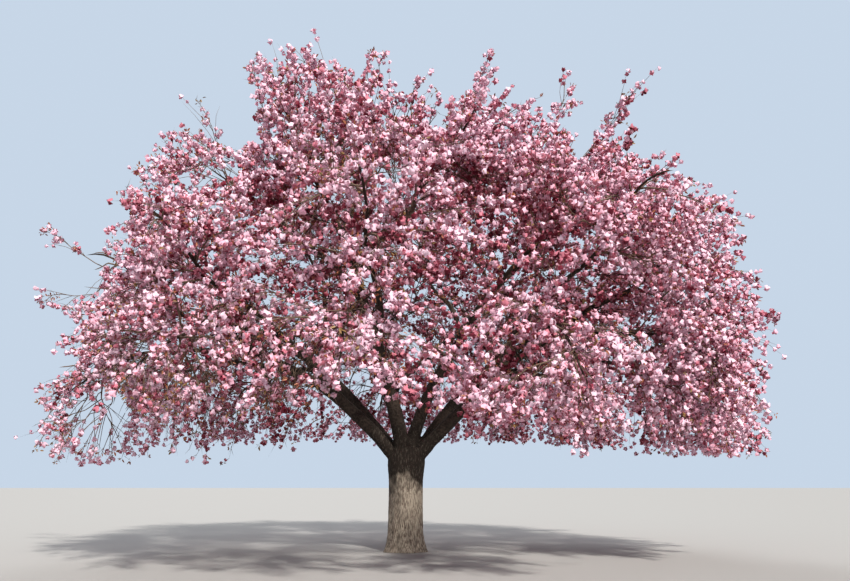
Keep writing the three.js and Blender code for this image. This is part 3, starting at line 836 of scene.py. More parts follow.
    def bear_whips(self, mass, keeper, limb, rng, run, bounds):
        """Long thin whips that follow the branch outward, bare for most of their length."""
        count = max(FEWEST_WHIPS, round(WHIPS_PER_METRE * run))
        here = rng.uniform(*WHIP_SHARES, count)
        turns = rng.uniform(0, FULL_TURN, count)
        whips, kept = sprung_paths(
            mass, keeper, WHIP, limb.at(here), limb.way(here), turns, 1, rng, bounds)
        if len(whips):
            self.paths["whips"].append((mass, whips, self.sprays + kept, WHIP_FULLNESS))
        self.sprays += count

    def bear_shoots(self, mass, keeper, twigs, sprays, rng, full):
        """Shoots along many twigs."""
        per = self.look.shoots_per_twig
        owner = np.repeat(np.arange(len(twigs)), per)
        shares = np.tile(np.linspace(*SHOOT_SHARES, per), len(twigs))
        shares = shares + rng.uniform(-SHOOT_STRAY, SHOOT_STRAY, len(owner))
        points, ways = along_paths(twigs, owner, np.clip(shares, 0, 1))
        first_turns = np.repeat(rng.uniform(0, FULL_TURN, len(twigs)), per)
        turns = np.tile(np.arange(per) * GOLDEN_ANGLE, len(twigs)) + first_turns
        reach = np.linalg.norm(twigs[:, -1] - twigs[:, 0], axis=1)[owner]
        shoots, kept = sprung_paths(
            mass, keeper, SHOOT, points, ways, turns, np.clip(reach, SHORT_TWIG, 1), rng)
        self.paths["shoots"].append((mass, shoots, sprays[owner[kept]], full))


def along_paths(paths, owner, shares):
    """Points and headings at shares of many paths."""
    steps = paths.shape[1] - 1
    low = np.minimum((shares * steps).astype(int), steps - 1)
    part = (shares * steps - low)[:, None]
    start, end = paths[owner, low], paths[owner, low + 1]
    return start + (end - start) * part, unit(end - start)


@lru_cache(maxsize=None)
def grown_twigs():
    return Growth(bpy.context.scene.cherry_twigs)


def clusters_along(paths, sprays, first, spacing, rng):
    """Places for blossom clusters along many paths: points, headings and sprays."""
    lengths = np.linalg.norm(np.diff(paths, axis=1), axis=2).sum(1) * (1 - first)
    counts = np.maximum(1, np.round(lengths / spacing).astype(int))
    owner = np.repeat(np.arange(len(paths)), counts)
    step = np.arange(len(owner)) - np.repeat(np.cumsum(counts) - counts, counts)
    shares = first + (1 - first) * (step + rng.uniform(0.2, 0.9, len(owner))) / counts[owner]
    points, ways = along_paths(paths, owner, shares)
    return points, ways, sprays[owner]


def tubes(paths, radii, sides):
    """Closed tubes round many paths, each drawn to a point: vertices and triangles."""
    count, rows = paths.shape[:2]
    rows -= 1
    ways = unit(np.gradient(paths, axis=1))[:, :rows]
    flat = unit(np.cross(ways, UP) + 1e-6)
    lift = np.cross(flat, ways)
    turns = FULL_TURN * np.arange(sides) / sides
    ring = flat[:, :, None] * np.cos(turns)[:, None] + lift[:, :, None] * np.sin(turns)[:, None]
    skin = paths[:, :rows, None] + ring * radii[:, :rows, None, None]
    points = np.concatenate([skin.reshape(count, -1, 3), paths[:, -1:]], axis=1)
    i = np.arange(sides)
    rows_at = np.arange(rows - 1)[:, None] * sides
    a, b = rows_at + i, rows_at + (i + 1) % sides
    quads = np.stack([a, a + sides, b + sides, b], -1).reshape(-1, 4)
    last = (rows - 1) * sides
    tip = np.column_stack([last + i, np.full(sides, last + sides), last + (i + 1) % sides])
    foot = np.array([[0, k, k + 1] for k in range(1, sides - 1)])
    faces = np.concatenate([quads[:, [0, 1, 2]], quads[:, [0, 2, 3]], tip, foot])
    starts = np.arange(count)[:, None, None] * points.shape[1]
    return points.reshape(-1, 3), (faces[None] + starts).reshape(-1, 3)


def joined(parts):
    """Several (points, faces) as one."""
    points = np.concatenate([part[0] for part in parts])
    starts = np.cumsum([0] + [len(part[0]) for part in parts[:-1]])
    return points, np.concatenate([part[1] + start for part, start in zip(parts, starts)])


def copies(shape, faces, axes, places, sizes, shift=0):
    """A shape set down at many places, each on its own three axes and in its own size."""
    side, other, out = (axis[:, None] for axis in axes)
    grown = shape[None, :, :1] * side + shape[None, :, 1:2] * other + shape[None, :, 2:] * out
    placed = places[:, None] + (grown + shift) * sizes[:, None, None]
    starts = np.arange(len(places))[:, None, None] * len(shape)
    return placed.reshape(-1, 3), (faces[None] + starts).reshape(-1, 3)


def new_object(name, data):
    thing = bpy.data.objects.new(name, data)
    bpy.context.collection.objects.link(thing)
    return thing


def piece_from_arrays(name, points, faces, materials, slots):
    """A mesh object of triangles, each with its material's index."""
    mesh = bpy.data.meshes.new(name)
    mesh.vertices.add(len(points))
    mesh.vertices.foreach_set("co", np.ascontiguousarray(points, np.float32).ravel())
    mesh.loops.add(faces.size)
    mesh.loops.foreach_set("vertex_index", np.ascontiguousarray(faces, np.int32).ravel())
    mesh.polygons.add(len(faces))
    mesh.polygons.foreach_set("loop_start", np.arange(0, faces.size, 3, dtype=np.int32))
    for material in materials:
        mesh.materials.append(material)
    mesh.polygons.foreach_set("material_index", slots.astype(np.int32))
    mesh.update(calc_edges=True)
    return new_object(name, mesh)


def only(piece):
    """Selects one piece and nothing else."""
    bpy.ops.object.select_all(action="DESELECT")
    piece.select_set(True)
    bpy.context.view_layer.objects.active = piece


def smooth(piece):
    only(piece)
    bpy.ops.object.shade_smooth()


def dress(bark, material):
    """Gives a piece of bark its one material and smooth faces."""
    bark.data.materials.clear()
    bark.data.materials.append(material)
    smooth(bark)


def apply_modifier(piece, kind, **values):
    only(piece)
    modifier = piece.modifiers.new(kind.title(), kind)
    for name, value in values.items():
        setattr(modifier, name, value)
    bpy.ops.object.modifier_apply(modifier=modifier.name)


def relief(piece, size, depth, stretch=(1, 1, 1)):
    """Presses a cloudy pattern into a piece, stretched along its axes."""
    texture = bpy.data.textures.new(f"{piece.name}_relief", "CLOUDS")
    texture.noise_scale = size
    ruler = new_object(f"{piece.name}_ruler", None)
    ruler.scale = stretch
    bpy.context.view_layer.update()
    apply_modifier(piece, "DISPLACE", texture=texture, strength=depth, mid_level=0.5,
                   texture_coords="OBJECT", texture_coords_object=ruler)
    bpy.data.objects.remove(ruler)
    bpy.data.textures.remove(texture)


def limb_tube(name, limb, shares, radii, around):
    """A limb as a curve with a round section, turned into a mesh."""
    curve = bpy.data.curves.new(name, "CURVE")
    curve.dimensions = "3D"
    curve.bevel_depth = 1
    curve.bevel_resolution = around
    curve.use_fill_caps = True
    spline = curve.splines.new("POLY")
    spline.points.add(len(shares) - 1)
    points = np.column_stack([limb.at(shares), np.ones(len(shares))])
    spline.points.foreach_set("co", points.ravel())
    spline.points.foreach_set("radius", np.asarray(radii, float))
    only(new_object(name, curve))
    bpy.ops.object.convert(target="MESH")
    return bpy.context.view_layer.objects.active


def join_pieces(pieces, name):
    bpy.ops.object.select_all(action="DESELECT")
    for piece in pieces:
        piece.select_set(True)
    bpy.context.view_layer.objects.active = pieces[0]
    bpy.ops.object.join()
    pieces[0].name = name
    pieces[0].data.name = name
    return pieces[0]


def seat(piece, nodes):
    """Ties a finished piece to its body and hides the nodes that it stands for."""
    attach(piece, "root")
    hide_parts(*nodes)


# Bark: how fine and how detailed its cracks, mottling and pits are beside its own scale, and the
# range of each pattern in which one colour turns into the other
CRACKS = {"detail": 6.0, "range": (0.38, 0.58), "flecks": (0.52, 0.74)}
MOTTLE = {"stretch": (1, 1, 0.6), "fine": 0.12, "detail": 4.0, "range": (0.35, 0.65), "full": 0.55,
          "darker": 0.6}
PITS = {"stretch": (1, 1, 1.6), "fine": 0.9, "detail": 2.0, "range": (0.3, 0.36), "full": 0.85}
BUMP = {"Strength": 0.7, "Distance": 0.01}
BARK_ROUGHNESS = (0.95, 0.75)
TRUNK_CRACKS = {"stretch": (1, 1, 0.22), "scale": 42}
LIMB_CRACKS = {"stretch": (1, 1, 1), "scale": 22}
# Painted light and shade higher up: a painted shadow of the crown darkens the trunk's upper bark, and
# painted sunlight makes the high limbs' bark paler.
# From which height to which, how far patches of it wander, and how bright its flecks are beside the
# pale bark
PATCHES = {"stretch": (1, 1, 0.8), "detail": 3.0}
# Painted sunlight on the high limbs: paler tan bark from about six metres up, where the top of the
# crown is sunlit
LIMBS_PAINTED_SUNLIGHT = {"from": 6.0, "to": 8.0, "wander": 1.0, "patches": 1.2,
               "colour": (0.15, 0.115, 0.09), "flecks": 2.6}
# Painted shadow of the crown on the upper trunk: near-black bark with faint pale flecks above a
# wandering line about one and a half metres up
TRUNK_PAINTED_SHADOW = {"from": 2.3, "to": 2.55, "wander": 1.7, "patches": 1.9,
               "colour": (0.03, 0.022, 0.017), "flecks": 0.3}
ROUGHNESS = {"bark": 0.9, "twig": 0.85, "petal": 0.6, "bud": 0.5, "leaf": 0.45, "floor": 0.9}
PETAL_SHEEN = 0.2


def new_material(name, colour, roughness, sheen=0.0):
    material = bpy.data.materials.new(name)
    material.use_nodes = True
    shader = material.node_tree.nodes["Principled BSDF"]
    shader.inputs["Base Color"].default_value = (*colour, 1)
    shader.inputs["Roughness"].default_value = roughness
    shader.inputs["Sheen Weight"].default_value = sheen
    return material


def bark_material(name, look, cracked, shade):
    """Bark with fine cracks, mottling and small pits, and painted light and shade higher up: a painted
    shadow on the trunk, painted sunlight on the limbs.
    """
    pale, dark, scale = look.pale, look.dark, cracked["scale"]
    material = new_material(name, pale, ROUGHNESS["bark"])
    nodes, links = material.node_tree.nodes, material.node_tree.links
    shader = nodes["Principled BSDF"]
    where = nodes.new("ShaderNodeTexCoord")

    def noise(stretch, size, detail):
        mapping = nodes.new("ShaderNodeMapping")
        mapping.inputs["Scale"].default_value = stretch
        texture = nodes.new("ShaderNodeTexNoise")
        texture.inputs["Scale"].default_value = size
        texture.inputs["Detail"].default_value = detail
        links.new(where.outputs["Object"], mapping.inputs["Vector"])
        links.new(mapping.outputs["Vector"], texture.inputs["Vector"])
        return texture.outputs["Fac"]

    def ramp(source, ends, *colours):
        blend = nodes.new("ShaderNodeValToRGB")
        for element, end, colour in zip(blend.color_ramp.elements, ends, colours):
            element.position = end
            element.color = (*colour, 1)
        links.new(source, blend.inputs["Fac"])
        return blend.outputs["Color"]

    def mixed(factor, first, second):
        """A mix of a socket's colour with another socket's or with a plain one."""
        mix = nodes.new("ShaderNodeMix")
        mix.data_type = "RGBA"
        links.new(factor, mix.inputs["Factor"])
        links.new(first, mix.inputs["A"])
        if isinstance(second, bpy.types.NodeSocket):
            links.new(second, mix.inputs["B"])
        else:
            mix.inputs["B"].default_value = (*second, 1)
        return mix.outputs["Result"]

    def spots(pattern, part, colour, other):
        """Another colour in the low part of a pattern."""
        share = ramp(pattern, part["range"], (part["full"],) * 3, (0.0,) * 3)
        return mixed(share, colour, other)

    cracks = noise(cracked["stretch"], scale, CRACKS["detail"])
    mottle, pits = (noise(part["stretch"], scale * part["fine"], part["detail"])
                    for part in (MOTTLE, PITS))
    colour = ramp(cracks, CRACKS["range"], dark, pale)
    colour = spots(mottle, MOTTLE, colour, tuple(value * MOTTLE["darker"] for value in pale))

    # Painted light and shade: above a wandering height the bark's colour gives way to the painted
    # colour, flecked along its cracks
    height = nodes.new("ShaderNodeSeparateXYZ")
    fade = nodes.new("ShaderNodeMapRange")
    wander = nodes.new("ShaderNodeMath")
    wander.operation = "MULTIPLY_ADD"
    wander.inputs[1].default_value = shade["wander"]
    fade.inputs["From Min"].default_value = shade["from"]
    fade.inputs["From Max"].default_value = shade["to"]
    links.new(where.outputs["Object"], height.inputs["Vector"])
    links.new(noise(PATCHES["stretch"], shade["patches"], PATCHES["detail"]), wander.inputs[0])
    links.new(height.outputs["Z"], wander.inputs[2])
    links.new(wander.outputs["Value"], fade.inputs["Value"])
    flecks = tuple(value * shade["flecks"] for value in pale)
    colour = mixed(fade.outputs["Result"], colour,
                   ramp(cracks, CRACKS["flecks"], shade["colour"], flecks))
    links.new(spots(pits, PITS, colour, dark), shader.inputs["Base Color"])

    heights = nodes.new("ShaderNodeMath")
    heights.operation = "ADD"
    links.new(cracks, heights.inputs[0])
    links.new(pits, heights.inputs[1])
    bump = nodes.new("ShaderNodeBump")
    for socket, value in BUMP.items():
        bump.inputs[socket].default_value = value
    links.new(heights.outputs["Value"], bump.inputs["Height"])
    links.new(bump.outputs["Normal"], shader.inputs["Normal"])
    rough = nodes.new("ShaderNodeMapRange")
    rough.inputs["To Min"].default_value, rough.inputs["To Max"].default_value = BARK_ROUGHNESS
    links.new(cracks, rough.inputs["Value"])
    links.new(rough.outputs["Result"], shader.inputs["Roughness"])
    return material


# Settings
class CherryTrunkSettings(PropertyGroup):
    grain: FloatProperty(
        name="Grain", description="Size of the faces of the trunk's bark", default=0.017, min=0.01,
        max=0.05, unit="LENGTH")
    ridge: FloatProperty(
        name="Ridges", description="Depth of the long ridges up the trunk", default=0.035, min=0,
        max=0.1, unit="LENGTH")
    crust: FloatProperty(
        name="Crust", description="Depth of the small cracked scales", default=0.014, min=0,
        max=0.05, unit="LENGTH")
    pale: FloatVectorProperty(
        name="Pale bark", description="Colour of the bark's weathered face", subtype="COLOR",
        default=(0.5, 0.44, 0.36), min=0, max=1)
    dark: FloatVectorProperty(
        name="Dark bark", description="Colour down in the cracks", subtype="COLOR",
        default=(0.12, 0.09, 0.07), min=0, max=1)


class CherryBoughSettings(PropertyGroup):
    steps: IntProperty(
        name="Steps", description="Rings along a bough", default=44, min=8, max=120)
    knots: FloatProperty(
        name="Knots", description="Depth of the swellings along a bough", default=0.03, min=0,
        max=0.1, unit="LENGTH")
    pale: FloatVectorProperty(
        name="Pale bark", description="Colour of the bark's weathered face", subtype="COLOR",
        default=(0.085, 0.063, 0.05), min=0, max=1)
    dark: FloatVectorProperty(
        name="Dark bark", description="Colour down in the cracks", subtype="COLOR",
        default=(0.025, 0.018, 0.014), min=0, max=1)


class CherryTwigSettings(PropertyGroup):
    twigs_per_metre: FloatProperty(
        name="Twigs", description="Twigs that a metre of branch bears", default=4.8, min=1, max=20)
    shoots_per_twig: IntProperty(
        name="Shoots", description="Shoots that a twig bears", default=6, min=1, max=12)
    # Painted shade: a darkened copy of the twig bark for the stems, the branches inside the crown and
    # their twigs
    shaded: FloatVectorProperty(
        name="Branches", description="Colour of the branches and of the twigs inside the crown",
        subtype="COLOR", default=(0.055, 0.038, 0.029), min=0, max=1)
    colour: FloatVectorProperty(
        name="Twigs", description="Colour of the outer twigs", subtype="COLOR",
        default=(0.2, 0.145, 0.11), min=0, max=1)


class CherryBlossomSettings(PropertyGroup):
    spacing: FloatProperty(
        name="Spacing", description="Distance between clusters along a shoot", default=0.113, min=0.03,
        max=0.5, unit="LENGTH")
    radius: FloatProperty(
        name="Radius", description="Radius of a cluster of flowers", default=0.085, min=0.02,
        max=0.15, unit="LENGTH")
    pale: FloatVectorProperty(
        name="Pale", description="Colour of the palest petals", subtype="COLOR",
        default=(0.92, 0.67, 0.8), min=0, max=1)
    middle: FloatVectorProperty(
        name="Pink", description="Colour of most petals", subtype="COLOR",
        default=(0.88, 0.52, 0.65), min=0, max=1)
    deep: FloatVectorProperty(
        name="Deep", description="Colour of the deepest petals", subtype="COLOR",
        default=(0.6, 0.2, 0.27), min=0, max=1)
    # Also painted shade: the deepest tint, which deep petals reach when painted shade inside the crown,
    # on the lowest flower or a stray face deepens them
    bud: FloatVectorProperty(
        name="Buds", description="Colour of the buds", subtype="COLOR",
        default=(0.25, 0.03, 0.06), min=0, max=1)


class CherryLeafSettings(PropertyGroup):
    length: FloatProperty(
        name="Length", description="Length of a young leaf", default=0.085, min=0.02, max=0.2,
        unit="LENGTH")
    share: FloatProperty(
        name="Share", description="Share of the clusters that have young leaves beside them",
        default=0.3, min=0, max=1)
    copper: FloatVectorProperty(
        name="Copper", description="Colour of the youngest leaves", subtype="COLOR",
        default=(0.36, 0.14, 0.075), min=0, max=1)
    bronze: FloatVectorProperty(
        name="Bronze", description="Colour of the older leaves", subtype="COLOR",
        default=(0.28, 0.17, 0.07), min=0, max=1)


class CherryStageSettings(PropertyGroup):
    eye: FloatVectorProperty(
        name="Eye", description="Place of the camera", subtype="TRANSLATION",
        default=(0.46, -18.9, 1.6), unit="LENGTH")
    lens: FloatProperty(
        name="Lens", description="Focal length in millimetres", default=34, min=10, max=200)
    pitch: FloatProperty(
        name="Pitch", description="How far the camera looks up", default=math.radians(6.36),
        subtype="ANGLE")
    shift: FloatProperty(
        name="Shift", description="Upward shift of the lens", default=0.12, min=0, max=0.3)
    sun: FloatProperty(
        name="Sun", description="Strength of the sun lamp", default=3.55, min=0, max=20)
    back: FloatProperty(
        name="Back light", description="Strength of the wide lamp behind the tree", default=1.0,
        min=0, max=20)
    sky: FloatProperty(
        name="Sky", description="Strength of the light from all round", default=0.4, min=0, max=5)
    backdrop: FloatVectorProperty(
        name="Backdrop", description="Colour behind the tree", subtype="COLOR",
        default=(0.5, 0.58, 0.68), min=0, max=1)


# The trunk's mesh: sides and rings, how far it starts under the ground and is cut over it, how far
# a limb's foot runs on inside its bough, and how it tapers there
BOLE_SIDES = 96
BOLE_RINGS = 25
BOLE_UNDER = 0.1
CUT_OVER = 0.0005
STUB_RINGS = 14
STUB_INSIDE = 0.1
STUB_DRAWN_IN = 0.88
STUB_ROUNDNESS = 8
COLLAR_FADES = 1.6
TRUNK_SMOOTHING = {"factor": 0.6, "iterations": 9}
# Size and stretch of each pattern pressed into the bark, and the share of its depth
RIDGES = {"size": 0.16, "stretch": (1, 1, 7)}
CRUST = {"size": 0.035, "stretch": (1, 1, 2.5)}
KNOTS = ((0.22, 1.0), (0.06, 0.4))
# How far a bough starts inside its limb's foot, its radius there beside the limb's and how much it
# gains, and the collar of a side bough
BOUGH_INSIDE = 0.14
BOUGH_FOOT = (0.9, 0.1)
BOUGH_ROUNDNESS = 5
SIDE_COLLAR = 0.4
SIDE_COLLAR_RUN = 0.16


class CherryTrunk(Operator):
    """Bark of the trunk, with its root flare, its fork and the feet of its limbs."""

    bl_idname = "cherry.trunk"
    bl_label = "Trunk"

    def execute(self, context):
        look = context.scene.cherry_trunk
        parts = [self.bole()]
        for mass in grown_masses():
            if mass.limb.parent is None:
                parts.append(self.stub(mass.limb))
        bark = join_pieces(parts, "bark_trunk")
        apply_modifier(bark, "REMESH", mode="VOXEL", voxel_size=look.grain)
        apply_modifier(bark, "SMOOTH", **TRUNK_SMOOTHING)
        relief(bark, RIDGES["size"], look.ridge, RIDGES["stretch"])
        relief(bark, CRUST["size"], look.crust, CRUST["stretch"])
        self.cut_at_ground(bark)
        # The trunk's bark carries the painted shadow of the crown on its upper part
        dress(bark, bark_material("trunk_bark", look, TRUNK_CRACKS, TRUNK_PAINTED_SHADOW))
        seat(bark, ["trunk"])
        return {"FINISHED"}

    def bole(self):
        """The trunk up to its fork, extruded ring by ring from just under the ground."""
        bpy.ops.object.select_all(action="DESELECT")
        height, radius = -BOLE_UNDER, TRUNK_PROFILE[0][1]
        bpy.ops.mesh.primitive_circle_add(vertices=BOLE_SIDES, radius=radius, fill_type="NGON",
                                          location=(0, 0, height))
        bole = bpy.context.view_layer.objects.active
        bpy.ops.object.transform_apply(location=True)
        bpy.ops.object.mode_set(mode="EDIT")
        bpy.ops.mesh.select_all(action="SELECT")
        heights = np.linspace(0, TRUNK_PROFILE[-1][0], BOLE_RINGS)
        for next_height, next_radius in zip(heights, by_row(heights, TRUNK_PROFILE)):
            bpy.ops.mesh.extrude_region_move(
                TRANSFORM_OT_translate={"value": (0, 0, next_height - height)})
            ratio = next_radius / radius
            bpy.ops.transform.resize(value=(ratio, ratio, 1), center_override=(0, 0, next_height))
            height, radius = next_height, next_radius
        bpy.ops.mesh.select_all(action="SELECT")
        bpy.ops.mesh.normals_make_consistent(inside=False)
        bpy.ops.object.mode_set(mode="OBJECT")
        for vertex in bole.data.vertices:
            x, y, z = vertex.co
            flare = FLARE_DEPTH * max(0.0, 1 - max(0.0, z) / FLARE_HEIGHT)
            swell = 1 + flare * math.cos(FLARE_LOBES * math.atan2(y, x) + FLARE_TURN)
            lean = TRUNK_LEAN * min(1, max(0.0, z) / FORK_HEIGHT)
            vertex.co = (x * swell + lean, y * swell, z)
        return bole

    def stub(self, limb):
        """A limb's foot, wide where it leaves the trunk and drawn in where its bough takes over."""
        shares = np.linspace(0, limb.share_at(STUB_LENGTH + STUB_INSIDE), STUB_RINGS)
        run = shares / limb.first_share
        collar = 1 + COLLAR * np.clip(1 - COLLAR_FADES * run, 0, 1)
        drawn_in = np.where(shares > limb.first_share, STUB_DRAWN_IN, 1)
        radii = limb.radius(shares) * collar * drawn_in
        return limb_tube("stub", limb, shares, radii, STUB_ROUNDNESS)

    def cut_at_ground(self, bark):
        only(bark)
        bpy.ops.object.mode_set(mode="EDIT")
        bpy.ops.mesh.select_all(action="SELECT")
        bpy.ops.mesh.bisect(plane_co=(0, 0, CUT_OVER), plane_no=(0, 0, -1), use_fill=True,
                            clear_outer=True)
        bpy.ops.object.mode_set(mode="OBJECT")


class CherryBoughs(Operator):
    """Bark of the boughs: one tapering tube each, with knots and a collar at the foot."""

    bl_idname = "cherry.boughs"
    bl_label = "Boughs"

    def execute(self, context):
        look = context.scene.cherry_boughs
        masses = grown_masses()
        bark = join_pieces([self.bough(mass, look.steps) for mass in masses], "bark_boughs")
        for size, depth in KNOTS:
            relief(bark, size, look.knots * depth)
        # The boughs' bark carries painted sunlight on their high parts
        dress(bark, bark_material("limb_bark", look, LIMB_CRACKS, LIMBS_PAINTED_SUNLIGHT))
        seat(bark, [f"bough_{mass.name}" for mass in masses])
        return {"FINISHED"}

    def bough(self, mass, steps):
        """One bough, drawn in where it starts in the trunk's piece, or with a collar on its limb."""
        limb = mass.limb
        first = 0.0 if limb.parent is not None else limb.share_at(STUB_LENGTH - BOUGH_INSIDE)
        shares = np.linspace(first, 1, steps)
        if limb.parent is None:
            foot, gain = BOUGH_FOOT
            swell = np.clip(foot + gain * (shares - first) / (limb.first_share - first), 0, 1)
        else:
            run = np.linalg.norm(limb.at(shares) - limb.at(0.0), axis=1)
            swell = 1 + SIDE_COLLAR * np.exp(-run / SIDE_COLLAR_RUN)
        radii = limb.radius(shares) * swell
        return limb_tube(f"bough_{mass.name}_tube", limb, shares, radii, BOUGH_ROUNDNESS)


# Rings of the crown that share one piece of twigs, and the rings and sides of each kind of skin
TWIG_PIECES = {
    "twigs_skirt": ("skirt",), "twigs_mid": ("mid",), "twigs_crown": ("upper", "top"),
}
STEM_SKIN = (14, 6)
BRANCH_SKIN = (9, 4)
TWIG_SIDES = 3


class CherryTwigs(Operator):
    """Stems, branches, twigs and shoots that carry the blossom."""

    bl_idname = "cherry.twigs"
    bl_label = "Twigs"

    def execute(self, context):
        growth = grown_twigs()
        look = context.scene.cherry_twigs
        barks = [new_material("twig_bark", look.colour, ROUGHNESS["twig"]),
                 new_material("branch_bark", look.shaded, ROUGHNESS["bark"])]
        # Slot 1 is the painted shade copy of the twig bark, for stems, inner branches and the twigs of
        # inner branches
        outer, inner = 0, 1
        for name, rings in TWIG_PIECES.items():
            masses = [mass for mass in grown_masses() if mass.ring in rings]
            parts = [limb_skin(mass.stem, STEM_SKIN) for mass in masses]
            slots = [inner] * len(parts)
            for mass, limb in growth.branches:
                if mass.ring in rings:
                    far_out = share_of_shell(limb.at(OUTER_JUDGED_AT)[None])[0] > OUTER_SHARE
                    parts.append(limb_skin(limb, BRANCH_SKIN))
                    slots.append(outer if far_out else inner)
            for kind, habit in (("twigs", TWIG), ("shoots", SHOOT), ("whips", WHIP)):
                for mass, paths, _, full in growth.paths[kind]:
                    if mass.ring in rings:
                        parts.append(tapering_tubes(paths, habit["radii"]))
                        slots.append(outer if full >= 1 else inner)
            points, faces = joined(parts)
            slots = np.concatenate([np.full(len(part[1]), slot) for part, slot in zip(parts, slots)])
            piece = piece_from_arrays(name, points, faces, barks, slots)
            smooth(piece)
            seat(piece, [f"mass_{mass.name}" for mass in masses])
        return {"FINISHED"}


def limb_skin(limb, skin):
    rings, sides = skin
    shares = np.linspace(0, 1, rings + 1)
    return tubes(limb.at(shares)[None], limb.radius(shares)[None], sides)


def tapering_tubes(paths, radii):
    taper = np.linspace(*radii, paths.shape[1])
    return tubes(paths, np.tile(taper, (len(paths), 1)), TWIG_SIDES)


# A flower as a fan: points on its rim, reach and depth of the petals that stand out and of those
# tucked in, how far they stray in turn, reach and depth, and how far its heart stands out
RIM = 7
PETALS_OUT = (1.0, 0.05)
PETALS_TUCKED = (0.68, -0.5)
PETAL_STRAYS = (0.15, 0.14, 0.15)
FLOWER_HEART = 0.3
# A cluster: how many shapes of it there are, its flowers, how they stray and rise, their size and
# how far from its middle they sit
CLUSTER_SHAPES = 8
FLOWERS = 3
FLOWER_STRAY = 0.5
FLOWER_RISES = (-0.1, 0.9)
FLOWER_SIZES = (0.52, 0.68)
FLOWER_OFFSET = 0.42
# Any heading that no flower faces, to start its own axes from
ASLANT = (0.31, 0.87, 0.38)
# How a cluster hangs beside its shoot: outward and down, how far, and its room from the limbs. How
# it faces: flattened towards the sky, outward, and at random. Its size beside the mean one
HANG = (0.75, 0.65)
HANG_LENGTHS = (0.015, 0.05)
CLUSTER_ROOM = 0.02
FACING_FLATTENED = (1, 1, 0.6)
FACING_OUT = 0.7
FACING_STRAY = 0.6
CLUSTER_SIZES = (0.75, 1.2)


def flower(rng):
    """One double flower as a fan of ruffled petals, with rim points by turns out and tucked in."""
    out = np.arange(RIM) % 2 == 0
    turn, reach, depth = (rng.uniform(-stray, stray, RIM) for stray in PETAL_STRAYS)
    turns = FULL_TURN * (np.arange(RIM) + turn) / RIM
    reach = np.where(out, PETALS_OUT[0], PETALS_TUCKED[0]) + reach
    depth = np.where(out, PETALS_OUT[1], PETALS_TUCKED[1]) + depth
    edge = np.column_stack([np.cos(turns) * reach, np.sin(turns) * reach, depth])
    points = np.concatenate([[[0, 0, FLOWER_HEART]], edge])
    faces = np.array([[0, 1 + i, 1 + (i + 1) % RIM] for i in range(RIM)])
    return points, faces


def turned(points, way):
    """Points whose +Z is turned to a heading."""
    way = unit(np.asarray(way, float))
    side = unit(np.cross(way, ASLANT))
    return points @ np.array([side, np.cross(way, side), way])


def cluster_shape(rng):
    """A cluster about one wide: points, faces, each face's flower and shade, the flowers' ways."""
    parts, flowers, shades, ways = [], [], [], []
    for i in range(FLOWERS):
        turn = i * FULL_TURN / FLOWERS + rng.uniform(-FLOWER_STRAY, FLOWER_STRAY)
        way = unit(np.array([math.cos(turn), math.sin(turn), rng.uniform(*FLOWER_RISES)]))
        points, faces = flower(rng)
        points = turned(points * rng.uniform(*FLOWER_SIZES), way) + way * FLOWER_OFFSET
        parts.append((points, faces))
        ways.append(way)
        flowers += [i] * len(faces)
        shades += list(rng.uniform(0, 1, len(faces)) < FACE_SHADES)
    return *joined(parts), np.array(flowers), np.array(shades, int), np.array(ways)


